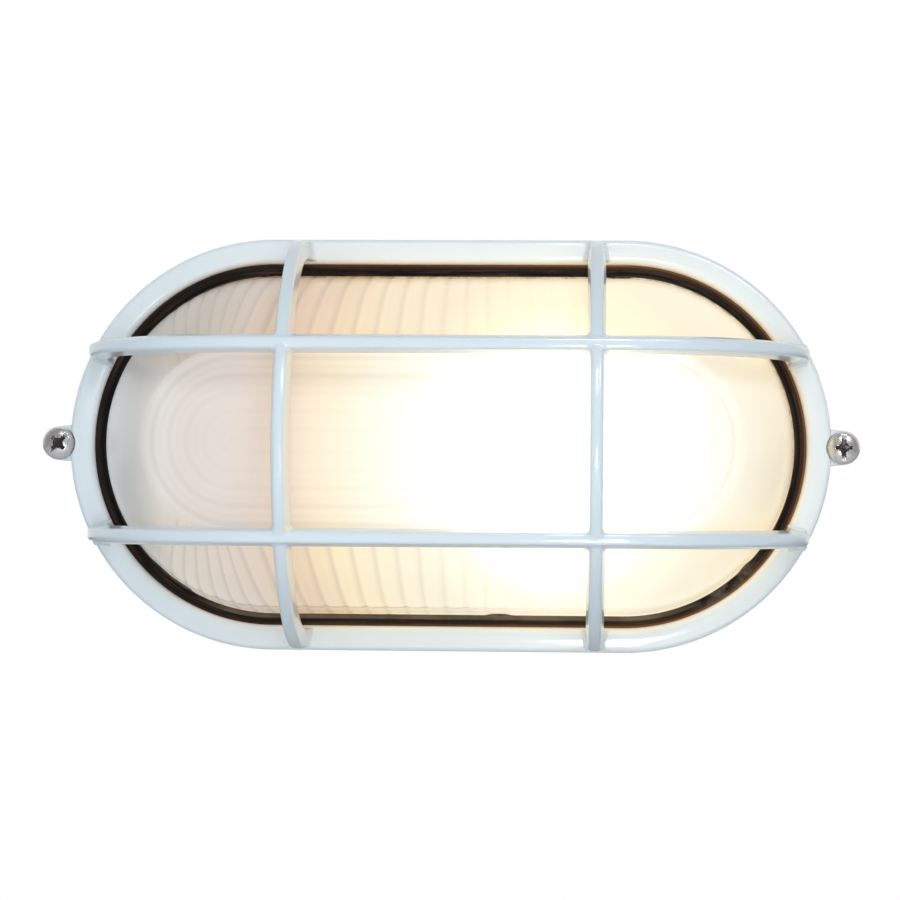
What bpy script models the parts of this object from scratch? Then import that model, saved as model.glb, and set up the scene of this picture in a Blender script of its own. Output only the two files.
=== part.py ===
# Oval bulkhead light with a cast guard, for one lamp, fixed to a wall.
#
# Every piece hangs on one empty that is turned to face out of the wall, so in
# this file a place is (x, up, depth): x to the right, up along the wall, and
# depth out of the wall towards the viewer. The wall is at depth 0.

import math

import bmesh
import bpy
from mathutils import Vector

# Fits
FIT = 0.0003                    # gap between pieces that seat on each other
SCREW_PLAY = 0.0003             # gap round a screw in its hole

# Cover rim: a band with half-round ends
RIM_LENGTH = 0.2008
RIM_HEIGHT = 0.1084
RIM_BAND = 0.0068               # width of the band seen from the front
RIM_WALL = 0.0025               # skirt round the gasket
RIM_LIP = 0.0017                # thickness of the band over the gasket
RIM_CROWN = 0.0004              # rise of the band in its middle
RIM_EDGE = 0.0014               # rounding of the outer edge
RIM_SLOPE = 0.0016              # width of the slope down to the gasket

# Guard bars, which lie on one half-capsule
CAGE_RISE = 0.0566              # from the rim's face to the front of the bars
CAGE_SPRING = 0.0028            # from the rim's face to where a bar starts to bend
CAGE_INSET = 0.0004             # outer face of a bar's foot from the rim's edge
BAR_INSET = 0.0075              # upright bars, from the ends of the straight sides
BAR_UP = 0.0239                 # level bars, from the middle
BAR_WIDTH = 0.0028
BAR_DRAFT = 0.0022              # a bar's inner face is wider by this
BAR_DEPTH = 0.0052
BAR_EDGE = 0.0006
FOOT_FLARE = 0.0014             # how far a foot spreads on each side
FOOT_HEIGHT = 0.0050            # how far up the spread reaches
FOOT_BITE = 0.0012              # how far a bar sinks into the rim

# Ears and their screws
EAR_REACH = 0.0031              # screw's axis beyond the rim's end
EAR_RADIUS = 0.0045
EAR_ROOT = 0.0099               # width where it leaves the rim
EAR_DROP = 0.0021               # ear face below the rim's face
SCREW_RADIUS = 0.0020
HEAD_RADIUS = 0.00425
HEAD_HEIGHT = 0.0026
HEAD_SKIRT = 0.25               # upright part of a head, as a share of its height
HEAD_FLAT = 0.2                 # flat top, as a share of the head's radius
SCREW_LENGTH = 0.0180
RECESS_SPAN = 0.0048
RECESS_WIDTH = 0.0012
RECESS_DEPTH = 0.0015
SLOT_WIDTH = 0.0013
SLOT_DEPTH = 0.0005

# Housing
HOUSING_DEPTH = 0.0367          # wall to the face under the cover
SEAT_STEP = 0.0015              # gasket seat below that face
FLANGE_THICKNESS = 0.0050
HOUSING_WALL = 0.0030
HOUSING_FLOOR = 0.0030
WALL_INSET = 0.0052             # outer side of the wall from the rim's edge
HOUSING_DRAFT = 0.0013
BACK_EDGE = 0.0010
PILLAR_FLOOR = 0.0034           # metal under the screw's hole
PILLAR_RADIUS = 0.0040
PILLAR_TIP_RADIUS = 0.0036
GUSSET_WIDTH = 0.0030
GUSSET_DROP = 0.0120

# Gasket and glass
GASKET_WALL = 0.0018
GASKET_SHOWING = 0.0028         # black ring seen inside the rim
GASKET_LOWER_LIP = 0.0034
GLASS_FLANGE = 0.0030
GLASS_WALL = 0.0032
CORNER_THINNING = 0.3           # side wall's loss of thickness at the panel
GLASS_CLEARANCE = 0.0005        # glass wall inside the gasket
GLASS_RISE = 0.0385             # flange face to the edge of the front panel
PANEL_SPREAD = 0.0058           # the front panel's round ends stand further out
PANEL_HEIGHT = 0.0478
PANEL_CROWN = 0.0045
RING_PITCH = 0.0045
RING_RELIEF = 0.00025
FLUTE_DEPTH = 0.00055
FLUTES_ALONG = 18               # on each straight side
FLUTES_ROUND = 7                # beyond each end of a straight side
FLUTE_ANGLE = math.radians(6)
GROOVE_SHARE = 0.22             # groove's half width as a share of the pitch

# Lamp and lampholder
LAMP_DEPTH = 0.0420
LAMP_SHIFT = 0.0269             # cap's tip beyond half of the straight side
LAMP_LENGTH = 0.1060
BULB_RADIUS = 0.0300
CAP_RADIUS = 0.0132
CAP_LENGTH = 0.0240
CAP_CONE_START = 0.0020         # insulator between the tip and the shell
CAP_CONE_END = 0.0070
CAP_FLARE = 0.0024              # step from the cap out to the glass neck
NECK_STEP = 0.0033              # how much wider the neck is
NECK_LENGTH = 0.0085
BULB_OPENING = math.radians(128)  # from the bulb's top round to its neck
TIP_RADIUS = 0.0045
HOLDER_WALL = 0.0028
HOLDER_LENGTH = 0.0400
HOLDER_BASE = 0.0090
HOLDER_EDGE = 0.0020
HOLDER_TAPER = 0.0228           # where the body starts to narrow
HOLDER_LIP = 0.0018
MOUTH_CLEARANCE = 0.0007        # round the lamp's neck
SHELL_WALL = 0.0006
SHELL_SHORT = 0.0010            # the shell ends this far before the cap does
CONTACT_WIDTH = 0.0060
CONTACT_THICKNESS = 0.0006
CONTACT_REACH = 0.0090
BRACKET_THICKNESS = 0.0016
BRACKET_WIDTH = 0.0320
BRACKET_FOOT = 0.0180
BRACKET_OVER = 0.0140           # plate above the lamp's axis
HOLDER_SCREW_UP = 0.0105
FOOT_SCREW_UP = 0.0110
FOOT_SCREW_BACK = 0.0108        # foot screws behind the plate

# Small screws inside
SMALL_SCREW_RADIUS = 0.0015
SMALL_HEAD_RADIUS = 0.0028
SMALL_HEAD_HEIGHT = 0.0018
SMALL_SCREW_LENGTH = 0.0060
SMALL_BOSS_RADIUS = 0.0040
SMALL_SLOT_WIDTH = 0.0008
BOSS_HEIGHT = 0.0045

# Terminal block
BLOCK_INSET = 0.0032            # block's middle from the end of the straight side
BLOCK_MARGIN = 0.0047           # between the block and the housing's wall
BLOCK_PITCH = 0.0085
BLOCK_WIDTH = 0.0160            # along the wires
BLOCK_HEIGHT = 0.0130
BLOCK_END = 0.0048              # from an outer way to the block's end
WAY_RADIUS = 0.0026
INSERT_WALL = 0.0006
INSERT_LENGTH = 0.0120
WELL_RADIUS = 0.0021
TERMINAL_SCREW_RADIUS = 0.0015
TERMINAL_SCREW_LENGTH = 0.0032
TERMINAL_SCREW_SPACING = 0.0060
WAY_HEIGHT = 0.0055             # way's axis above the block's foot
BLOCK_TAB_LENGTH = 0.0100
BLOCK_TAB_HEIGHT = 0.0030

# Earth point and inner wires
EARTH_SPACING = 0.0267          # from the block's screw
EARTH_MARGIN = 0.0137           # from the housing's wall
TAG_THICKNESS = 0.0008
TAG_RADIUS = 0.0036
TAG_LENGTH = 0.0090
TAG_NECK = math.radians(36)     # where the tail leaves the round, from the top
WIRE_RADIUS = 0.0011
WIRE_STEPS = 12
WIRE_BOW = 0.35                 # how far a wire runs on before it turns
LEAD_TURNS = (math.radians(250), math.radians(228))
LEAD_SPACING = 0.0033

# Cable entries, in the middle of the lower and upper sides
ENTRY_BORE = 0.0100
ENTRY_WALL = 0.0026             # of the boss round the bore
ENTRY_PROUD = 0.0023            # boss face below the rim's edge
ENTRY_EDGE = 0.0010             # boss face left free round what seats on it
GROMMET_LIP = 0.0016
GROMMET_GRIP = 0.0013
GROMMET_WEB = 0.0012
PLUG_HEAD = 0.0020
PLUG_SEAL = 0.0008
PLUG_LENGTH = 0.0060
PLUG_SLOT_WIDTH = 0.0020
PLUG_SLOT_DEPTH = 0.0010

# Fixing holes through the back, on a diagonal
FIXING_ANGLE = math.radians(58.7)
FIXING_MARGIN = 0.0143          # from the housing's wall
FIXING_RADIUS = 0.0031
COLLAR_RADIUS = 0.0060
COLLAR_HEIGHT = 0.0030

# Facets
ARC_STEPS = 20                  # in each half-round end
HOOP_STEPS = 18                 # in an upright bar's half turn
FINE_TURN = 20
BOSS_TURN = 12
BULB_STEPS = 9
SMALL_TURN = 8

# Levels and outlines that follow from the sizes above
STRAIGHT = (RIM_LENGTH - RIM_HEIGHT) / 2
BAR_X = STRAIGHT - BAR_INSET
SCREW_X = RIM_LENGTH / 2 + EAR_REACH
RIM_RADIUS = RIM_HEIGHT / 2
SEAT_LEVEL = HOUSING_DEPTH - SEAT_STEP
GASKET_BACK = SEAT_LEVEL + FIT
GLASS_BACK = GASKET_BACK + GASKET_WALL + FIT
GLASS_FACE = GLASS_BACK + GLASS_FLANGE
GASKET_FACE = GLASS_FACE + FIT + GASKET_WALL
LIP_BACK = GASKET_FACE + FIT
RIM_FACE = LIP_BACK + RIM_LIP
SKIRT_BACK = HOUSING_DEPTH + FIT
FLANGE_BACK = HOUSING_DEPTH - FLANGE_THICKNESS
EAR_FACE = RIM_FACE - EAR_DROP
PILLAR_END = EAR_FACE - SCREW_LENGTH - PILLAR_FLOOR
GASKET_INSET = RIM_WALL + FIT
SLOT_INSET = GASKET_INSET + GASKET_WALL
GASKET_INNER = RIM_BAND + GASKET_SHOWING
GLASS_RADIUS = RIM_RADIUS - GASKET_INNER - GLASS_CLEARANCE
PANEL_RADIUS = PANEL_HEIGHT / 2
PANEL_STRAIGHT = STRAIGHT + PANEL_SPREAD
CAGE_RADIUS = RIM_RADIUS - CAGE_INSET
CAGE_LEVEL = RIM_FACE + CAGE_SPRING
CAGE_HEIGHT = CAGE_RISE - CAGE_SPRING
LEVEL_BAR_SHARE = math.sqrt(1 - (BAR_UP / CAGE_RADIUS) ** 2)
WALL_INNER = WALL_INSET + HOUSING_WALL
NECK_RADIUS = CAP_RADIUS + NECK_STEP
NECK_START = CAP_LENGTH + CAP_FLARE
SHELL_LENGTH = CAP_LENGTH - SHELL_SHORT
HOLDER_BORE = CAP_RADIUS + SHELL_WALL + 2 * FIT
HOLDER_MOUTH = NECK_RADIUS + MOUTH_CLEARANCE
HOLDER_RADIUS = HOLDER_MOUTH + HOLDER_WALL
LAMP_TIP_X = -STRAIGHT / 2 - LAMP_SHIFT
HOLDER_BACK_X = LAMP_TIP_X - CONTACT_THICKNESS - 2 * FIT - HOLDER_BASE
BOSS_FACE = HOUSING_FLOOR + BOSS_HEIGHT
WAY_LEVEL = BOSS_FACE + FIT + WAY_HEIGHT
ENTRY_BOSS = ENTRY_BORE + ENTRY_WALL
ENTRY_SEAT = ENTRY_BOSS - ENTRY_EDGE
ENTRY_LEVEL = FLANGE_BACK / 2
ENTRY_FACE = RIM_RADIUS - ENTRY_PROUD
ENTRY_ROOT = RIM_RADIUS - WALL_INSET - HOUSING_WALL / 2
INSIDE_RADIUS = RIM_RADIUS - WALL_INNER - HOUSING_DRAFT
FIXING_REACH = INSIDE_RADIUS - FIXING_MARGIN
FIXING_X = STRAIGHT + FIXING_REACH * math.cos(FIXING_ANGLE)
FIXING_UP = FIXING_REACH * math.sin(FIXING_ANGLE)
BLOCK_X = BLOCK_INSET - STRAIGHT
BLOCK_UP = BLOCK_MARGIN + BLOCK_WIDTH / 2 - INSIDE_RADIUS
BLOCK_HALF = BLOCK_PITCH + BLOCK_END
BLOCK_SCREW_X = BLOCK_X + BLOCK_HALF + BLOCK_TAB_LENGTH / 2
EARTH_X = BLOCK_SCREW_X + EARTH_SPACING
EARTH_UP = EARTH_MARGIN - INSIDE_RADIUS


# Scene and objects

def clear_scene():
    for item in list(bpy.data.objects):
        bpy.data.objects.remove(item)


def make_frame():
    frame = bpy.data.objects.new("wall_frame", None)
    frame.rotation_euler = (math.radians(90), 0, 0)
    bpy.context.collection.objects.link(frame)
    return frame


def make_material(name, color, roughness, metallic=0.0):
    material = bpy.data.materials.new(name)
    material.use_nodes = True
    shader = material.node_tree.nodes["Principled BSDF"]
    shader.inputs["Base Color"].default_value = (*color, 1.0)
    shader.inputs["Roughness"].default_value = roughness
    shader.inputs["Metallic"].default_value = metallic
    material.diffuse_color = (*color, 1.0)
    return material


def add_object(name, work, place=(0, 0, 0), axis=(0, 0, 1)):
    # A piece is drawn about its own Z axis and then set along the axis given
    bmesh.ops.recalc_face_normals(work, faces=work.faces)
    mesh = bpy.data.meshes.new(name)
    work.to_mesh(mesh)
    work.free()
    mesh.shade_smooth()
    mesh.set_sharp_from_angle(angle=math.radians(32))
    item = bpy.data.objects.new(name, mesh)
    item.parent = WALL_FRAME
    item.location = place
    item.rotation_euler = Vector((0, 0, 1)).rotation_difference(Vector(axis)).to_euler()
    bpy.context.collection.objects.link(item)
    return item


def add_piece(name, work, material, place=(0, 0, 0), axis=(0, 0, 1)):
    item = add_object(name, work, place, axis)
    item.data.materials.append(material)
    return item


def add_tool(name, work, place=(0, 0, 0), axis=(0, 0, 1)):
    item = add_object(name, work, place, axis)
    item.hide_render = True
    item.display_type = "WIRE"
    return item


def combine(item, tool, operation):
    step = item.modifiers.new(tool.name, "BOOLEAN")
    step.operation = operation
    step.solver = "EXACT"
    step.object = tool


# Outlines and skins

def oval(inset, level, straight=STRAIGHT, radius=RIM_RADIUS):
    # Band outline with half-round ends, moved in by the inset
    ring = []
    for side in (1, -1):
        for step in range(ARC_STEPS + 1):
            angle = math.pi * (step / ARC_STEPS - 0.5)
            x = side * (straight + (radius - inset) * math.cos(angle))
            up = side * (radius - inset) * math.sin(angle)
            ring.append(Vector((x, up, level)))
    return ring


def circle(radius, level, steps):
    turn = [2 * math.pi * step / steps for step in range(steps)]
    return [Vector((radius * math.cos(a), radius * math.sin(a), level)) for a in turn]


def skin(rings, closed=False):
    # Quads between rings of equal count; an open skin gets a cap at each end
    work = bmesh.new()
    loops = [[work.verts.new(point) for point in ring] for ring in rings]
    pairs = list(zip(loops, loops[1:]))
    if closed:
        pairs.append((loops[-1], loops[0]))
    for near, far in pairs:
        join_loops(work, near, far)
    if not closed:
        work.faces.new(loops[0])
        work.faces.new(loops[-1])
    return work


def join_loops(work, near, far):
    count = len(near)
    for index in range(count):
        after = (index + 1) % count
        work.faces.new((near[index], near[after], far[after], far[index]))


def turned(profile, steps, closed=False):
    # The profile is a list of (radius, level)
    return skin([circle(radius, level, steps) for radius, level in profile], closed)


def prism(outline, low, high):
    # The outline is a list of (x, up)
    return skin([[Vector((x, up, level)) for x, up in outline] for level in (low, high)])


def box_outline(half_x, half_up):
    return [(-half_x, -half_up), (half_x, -half_up), (half_x, half_up), (-half_x, half_up)]


def turned_box(half_long, half_wide, turn):
    corners = box_outline(half_long, half_wide)
    cos = math.cos(turn)
    sin = math.sin(turn)
    return [(x * cos - up * sin, x * sin + up * cos) for x, up in corners]


def arc_points(centre, radius, start, end, steps):
    points = []
    for step in range(steps + 1):
        angle = start + (end - start) * step / steps
        points.append((centre[0] + radius * math.cos(angle), centre[1] + radius * math.sin(angle)))
    return points


def drill(item, name, radius, low, high, place, axis=(0, 0, 1), steps=SMALL_TURN):
    hole = turned([(radius, low), (radius, high)], steps)
    combine(item, add_tool(name, hole, place, axis), "DIFFERENCE")


def add_round(item, name, radius, low, high, place, axis=(0, 0, 1), steps=BOSS_TURN):
    boss = turned([(radius, low), (radius, high)], steps)
    combine(item, add_tool(name, boss, place, axis), "UNION")


# Housing

def ear_outline(side, shrink):
    root_x = RIM_LENGTH / 2 - RIM_WALL / 2
    tip = arc_points((SCREW_X, 0), EAR_RADIUS - shrink, -math.pi / 2, math.pi / 2, 12)
    half_root = EAR_ROOT / 2 - shrink
    outline = [(root_x, -half_root)] + tip + [(root_x, half_root)]
    return [(side * x, up) for x, up in outline]


def housing_shell():
    outer_back = WALL_INSET + HOUSING_DRAFT
    inner_back = WALL_INNER + HOUSING_DRAFT
    edge = BACK_EDGE / 2
    rings = [
        oval(outer_back + BACK_EDGE, 0),
        oval(outer_back, BACK_EDGE),
        oval(WALL_INSET, FLANGE_BACK),
        oval(FIT + edge, FLANGE_BACK),
        oval(FIT, FLANGE_BACK + edge),
        oval(FIT, HOUSING_DEPTH),
        oval(RIM_WALL, HOUSING_DEPTH),
        oval(RIM_WALL, SEAT_LEVEL),
        oval(WALL_INNER, SEAT_LEVEL),
        oval(inner_back, HOUSING_FLOOR + BACK_EDGE),
        oval(inner_back + BACK_EDGE, HOUSING_FLOOR),
    ]
    return skin(rings)


def gusset(side):
    # Rib in the plane through the screw, from the wall out to the pillar
    wall_x = RIM_LENGTH / 2 - WALL_INSET - HOUSING_WALL / 2
    low = FLANGE_BACK - GUSSET_DROP
    outline = [(wall_x, low), (SCREW_X, (FLANGE_BACK + PILLAR_END) / 2), (SCREW_X, FLANGE_BACK + FIT)]
    outline.append((wall_x, FLANGE_BACK + FIT))
    half = GUSSET_WIDTH / 2
    rings = [[Vector((side * x, up, level)) for x, level in outline] for up in (-half, half)]
    return skin(rings)


def make_housing(material):
    housing = add_piece("back_housing", housing_shell(), material)
    for side, word in ((-1, "left"), (1, "right")):
        add_ear(housing, side, word)
    for side, word in ((-1, "lower"), (1, "upper")):
        add_entry(housing, side, word)
    for word, x, up in small_boss_places():
        add_small_boss(housing, word, x, up)
    for side, word in ((-1, "left"), (1, "right")):
        add_fixing_hole(housing, side, word)
        place = (side * SCREW_X, 0, EAR_FACE)
        low = -SCREW_LENGTH - FIT
        drill(housing, f"pillar_hole_{word}", SCREW_RADIUS + SCREW_PLAY, low, HEAD_HEIGHT, place)


def add_ear(housing, side, word):
    ear = prism(ear_outline(side, FIT), FLANGE_BACK, HOUSING_DEPTH)
    combine(housing, add_tool(f"housing_ear_{word}", ear), "UNION")
    profile = [(PILLAR_TIP_RADIUS, PILLAR_END), (PILLAR_RADIUS, FLANGE_BACK + FLANGE_THICKNESS / 2)]
    pillar = turned(profile, BOSS_TURN)
    combine(housing, add_tool(f"housing_pillar_{word}", pillar, (side * SCREW_X, 0, 0)), "UNION")
    combine(housing, add_tool(f"housing_gusset_{word}", gusset(side)), "UNION")


def add_entry(housing, side, word):
    place = (0, side * ENTRY_FACE, ENTRY_LEVEL)
    axis = (0, side, 0)
    root = ENTRY_ROOT - ENTRY_FACE
    inside = INSIDE_RADIUS - ENTRY_FACE - HOUSING_WALL
    add_round(housing, f"entry_boss_{word}", ENTRY_BOSS, root, 0, place, axis, FINE_TURN)
    drill(housing, f"entry_bore_{word}", ENTRY_BORE, inside, HOUSING_WALL, place, axis, FINE_TURN)


def small_boss_places():
    foot_x = HOLDER_BACK_X - FIT - FOOT_SCREW_BACK
    return [
        ("foot_lower", foot_x, -FOOT_SCREW_UP),
        ("foot_upper", foot_x, FOOT_SCREW_UP),
        ("block", BLOCK_SCREW_X, BLOCK_UP),
        ("earth", EARTH_X, EARTH_UP),
    ]


def add_small_boss(housing, word, x, up):
    place = (x, up, BOSS_FACE)
    low = -BOSS_HEIGHT - HOUSING_FLOOR / 2
    add_round(housing, f"boss_{word}", SMALL_BOSS_RADIUS, low, 0, place)
    radius = SMALL_SCREW_RADIUS + SCREW_PLAY
    drill(housing, f"boss_hole_{word}", radius, -SMALL_SCREW_LENGTH, SMALL_SCREW_LENGTH, place)


def add_fixing_hole(housing, side, word):
    place = (side * FIXING_X, -side * FIXING_UP, HOUSING_FLOOR)
    add_round(housing, f"fixing_collar_{word}", COLLAR_RADIUS, -HOUSING_FLOOR / 2, COLLAR_HEIGHT, place)
    drill(housing, f"fixing_hole_{word}", FIXING_RADIUS, -2 * HOUSING_FLOOR, 2 * COLLAR_HEIGHT, place)


# Guard: rim, ears and bars in one casting

def rim_section():
    edge = arc_points((RIM_EDGE, RIM_FACE - RIM_EDGE), RIM_EDGE, math.pi, math.pi / 2, 3)
    crown = [(RIM_BAND / 2, RIM_FACE + RIM_CROWN), (RIM_BAND - RIM_SLOPE, RIM_FACE)]
    inner = [(RIM_BAND - RIM_SLOPE / 5, RIM_FACE - RIM_SLOPE / 2), (RIM_BAND, RIM_FACE - RIM_SLOPE * 0.8)]
    under = [(RIM_BAND, LIP_BACK), (RIM_WALL, LIP_BACK), (RIM_WALL, SKIRT_BACK), (0, SKIRT_BACK)]
    return edge + crown + inner + under


def bar_section(spread):
    # Corners as (across, inwards from the outer face)
    outer = BAR_WIDTH / 2 + spread
    inner = outer + BAR_DRAFT / 2
    deep = min(BAR_DEPTH + spread, RIM_BAND - 2 * CAGE_INSET)
    right = [
        (outer - BAR_EDGE, 0),
        (outer, BAR_EDGE),
        (inner, deep - BAR_EDGE),
        (inner - BAR_EDGE, deep),
    ]
    return right + [(-across, inwards) for across, inwards in reversed(right)]


def foot_spread(height):
    share = max(0.0, 1 - height / FOOT_HEIGHT)
    return FOOT_FLARE * share * share


def bar_path(centre, radius, height):
    # Places (along, level) and outward directions of one half of a bar, from
    # its foot in the rim up to the top of its arc
    foot = RIM_FACE - FOOT_BITE
    stations = [(centre + radius, foot + share * (CAGE_LEVEL - foot), 1.0, 0.0) for share in (0, 0.5)]
    for step in range(HOOP_STEPS // 2 + 1):
        angle = math.pi * step / HOOP_STEPS
        out = Vector((height * math.cos(angle), radius * math.sin(angle))).normalized()
        along = centre + radius * math.cos(angle)
        stations.append((along, CAGE_LEVEL + height * math.sin(angle), out.x, out.y))
    return stations


def bar_rings(centre, share, to_place):
    # The share is that of the cage's radius and height at this bar
    half = bar_path(centre, CAGE_RADIUS * share, CAGE_HEIGHT * share)
    other = [(-along, level, -out_x, out_y) for along, level, out_x, out_y in reversed(half)]
    if centre == 0:
        other = other[1:]
    rings = []
    for along, level, out_x, out_y in half + other:
        ring = []
        for across, inwards in bar_section(foot_spread(level - RIM_FACE)):
            ring.append(to_place(across, along - out_x * inwards, level - out_y * inwards))
        rings.append(ring)
    return rings


def upright_bar(x):
    def to_place(across, along, level):
        return Vector((x + across, along, level))

    return skin(bar_rings(0, 1, to_place))


def level_bar(up):
    def to_place(across, along, level):
        return Vector((along, up + across, level))

    return skin(bar_rings(STRAIGHT, LEVEL_BAR_SHARE, to_place))


def make_guard(material):
    section = [oval(inset, level) for inset, level in rim_section()]
    guard = add_piece("guard", skin(section, closed=True), material)
    for side, word in ((-1, "left"), (1, "right")):
        ear = prism(ear_outline(side, 0), SKIRT_BACK, EAR_FACE)
        combine(guard, add_tool(f"guard_ear_{word}", ear), "UNION")
        combine(guard, add_tool(f"upright_bar_{word}", upright_bar(side * BAR_X)), "UNION")
    for side, word in ((-1, "lower"), (1, "upper")):
        combine(guard, add_tool(f"level_bar_{word}", level_bar(side * BAR_UP)), "UNION")
    for side, word in ((-1, "left"), (1, "right")):
        # The rim gives way to the screw's head, and the ear has its hole
        place = (side * SCREW_X, 0, EAR_FACE)
        radius = HEAD_RADIUS + SCREW_PLAY
        drill(guard, f"head_relief_{word}", radius, 0, 2 * HEAD_HEIGHT, place, steps=FINE_TURN)
        low = SKIRT_BACK - EAR_FACE - HEAD_HEIGHT
        drill(guard, f"ear_hole_{word}", SCREW_RADIUS + SCREW_PLAY, low, HEAD_HEIGHT, place)


# Gasket: a channel that grips the edge of the glass

def make_gasket(material):
    slot_back = GLASS_BACK - FIT
    slot_face = GLASS_FACE + FIT
    bead = GASKET_WALL / 3
    section = [
        (GASKET_INSET, GASKET_BACK),
        (GASKET_INSET, GASKET_FACE),
        (GASKET_INNER - bead, GASKET_FACE),
        (GASKET_INNER, GASKET_FACE - bead),
        (GASKET_INNER, slot_face),
        (SLOT_INSET, slot_face),
        (SLOT_INSET, slot_back),
        (SLOT_INSET + GASKET_LOWER_LIP, slot_back),
        (SLOT_INSET + GASKET_LOWER_LIP, GASKET_BACK),
    ]
    rings = [oval(inset, level) for inset, level in section]
    add_piece("glass_gasket", skin(rings, closed=True), material)


# Glass: fluted sides, a ringed front panel and a flat flange

def oval_point(turn, straight, radius):
    # Place on the outline for a turn of 0 to 4: right end, top, left end, bottom
    quarter = int(turn) % 4
    share = turn - int(turn)
    if quarter in (0, 2):
        side = 1 - quarter
        angle = math.pi * (share - 0.5)
        return side * (straight + radius * math.cos(angle)), side * radius * math.sin(angle)
    side = 2 - quarter
    return side * straight * (1 - 2 * share), side * radius


def plain_turns():
    turns = []
    for quarter in (0, 2):
        turns += [quarter + step / ARC_STEPS for step in range(ARC_STEPS)]
        turns.append(quarter + 1)
    return turns


def fluted_turns():
    # Pairs (turn, relief), relief 1 on a flute's crest and 0 in its groove
    flute_marks = ((0, 0), (GROOVE_SHARE, 1), (1 - GROOVE_SHARE, 1))
    flute_turn = FLUTE_ANGLE / math.pi
    fluted_end = FLUTES_ROUND * flute_turn
    plain_steps = max(4, round(ARC_STEPS * (1 - 2 * fluted_end)))
    turns = []
    for quarter in (0, 2):
        for flute in range(FLUTES_ROUND):
            turns += [(quarter + (flute + mark) * flute_turn, relief) for mark, relief in flute_marks]
        for step in range(plain_steps + 1):
            share = fluted_end + (1 - 2 * fluted_end) * step / plain_steps
            turns.append((quarter + share, 0 if step in (0, plain_steps) else 1))
        for flute in range(FLUTES_ROUND):
            base = quarter + 1 - fluted_end + flute * flute_turn
            own_marks = flute_marks if flute else flute_marks[1:]
            turns += [(base + mark * flute_turn, relief) for mark, relief in own_marks]
        for flute in range(FLUTES_ALONG):
            base = quarter + 1 + flute / FLUTES_ALONG
            turns += [(base + mark / FLUTES_ALONG, relief) for mark, relief in flute_marks]
    return turns


def wall_station(share, base_radius, rise):
    # Point of the side wall's curve: (straight, radius, height over the flange)
    last = math.acos(PANEL_RADIUS / GLASS_RADIUS)
    angle = last * share
    narrowing = (1 - math.cos(angle)) / (1 - math.cos(last))
    straight = STRAIGHT + (PANEL_STRAIGHT - STRAIGHT) * narrowing
    radius = base_radius - (GLASS_RADIUS - PANEL_RADIUS) * narrowing
    return straight, radius, rise * math.sin(angle) / math.sin(last)


def plain_ring(straight, radius, level):
    # Each ring of the glass is a list of (turn, place)
    return [(turn, Vector((*oval_point(turn, straight, radius), level))) for turn in plain_turns()]


def fluted_ring(share):
    straight, radius, height = wall_station(share, GLASS_RADIUS, GLASS_RISE)
    ring = []
    for turn, relief in fluted_turns():
        x, up = oval_point(turn, straight, radius - FLUTE_DEPTH * (1 - relief))
        ring.append((turn, Vector((x, up, GLASS_FACE + height))))
    return ring


def panel_level(radius):
    return GLASS_FACE + GLASS_RISE + PANEL_CROWN * (1 - (radius / PANEL_RADIUS) ** 2)


def inner_glass_rings():
    # From the inside of the front panel down the inner wall
    rings = []
    for share in (0.25, 0.7):
        radius = PANEL_RADIUS * share
        rings.append(plain_ring(PANEL_STRAIGHT, radius, panel_level(radius) - GLASS_WALL))
    for share in (1.0, 0.75, 0.5, 0.25, 0.0):
        station = wall_station(share, GLASS_RADIUS - GLASS_WALL, GLASS_RISE - GLASS_WALL)
        straight, radius, height = station
        thinned = radius + GLASS_WALL * CORNER_THINNING * share
        rings.append(plain_ring(straight, thinned, GLASS_FACE + height))
    rings.append(plain_ring(STRAIGHT, GLASS_RADIUS - GLASS_WALL, GLASS_BACK))
    return rings


def outer_glass_rings():
    # Over the flange, up the fluted wall and across the front panel
    flange_radius = RIM_RADIUS - SLOT_INSET - FIT
    rings = [plain_ring(STRAIGHT, flange_radius, level) for level in (GLASS_BACK, GLASS_FACE)]
    rings.append(plain_ring(STRAIGHT, GLASS_RADIUS, GLASS_FACE))
    rings += [fluted_ring(share) for share in (0.10, 0.35, 0.62, 0.88)]
    # The last ring stays clear of the middle line
    for step in range(int(2 * PANEL_RADIUS / RING_PITCH - 0.3) + 1):
        radius = PANEL_RADIUS - step * RING_PITCH / 2
        sunk = RING_RELIEF if step % 2 else 0
        rings.append(plain_ring(PANEL_STRAIGHT, radius, panel_level(radius) - sunk))
    return rings


def stitch_loops(work, near, far):
    # Triangles between loops of different counts, taken in order of their turn
    a = 0
    b = 0
    while a < len(near) or b < len(far):
        near_next = near[a + 1][0] if a + 1 < len(near) else near[0][0] + 4
        far_next = far[b + 1][0] if b + 1 < len(far) else far[0][0] + 4
        near_vert = near[a % len(near)][1]
        far_vert = far[b % len(far)][1]
        if b >= len(far) or (a < len(near) and near_next <= far_next):
            work.faces.new((near_vert, near[(a + 1) % len(near)][1], far_vert))
            a += 1
        else:
            work.faces.new((near_vert, far[(b + 1) % len(far)][1], far_vert))
            b += 1


def make_glass(material):
    work = bmesh.new()
    rings = inner_glass_rings() + outer_glass_rings()
    loops = [[(turn, work.verts.new(place)) for turn, place in ring] for ring in rings]
    for near, far in zip(loops, loops[1:]):
        if len(near) == len(far):
            join_loops(work, [vert for _, vert in near], [vert for _, vert in far])
        else:
            stitch_loops(work, near, far)
    work.faces.new([vert for _, vert in loops[0]])
    work.faces.new([vert for _, vert in loops[-1]])
    add_piece("glass_diffuser", work, material)


# Screws

def dome_profile(radius, height, steps):
    # Pan head from its rim to its flat top
    skirt = height * HEAD_SKIRT
    points = [(radius, 0), (radius, skirt)]
    for step in range(1, steps + 1):
        angle = math.pi / 2 * step / (steps + 1)
        points.append((radius * math.cos(angle), skirt + (height - skirt) * math.sin(angle)))
    points.append((radius * HEAD_FLAT, height))
    return points


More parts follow.
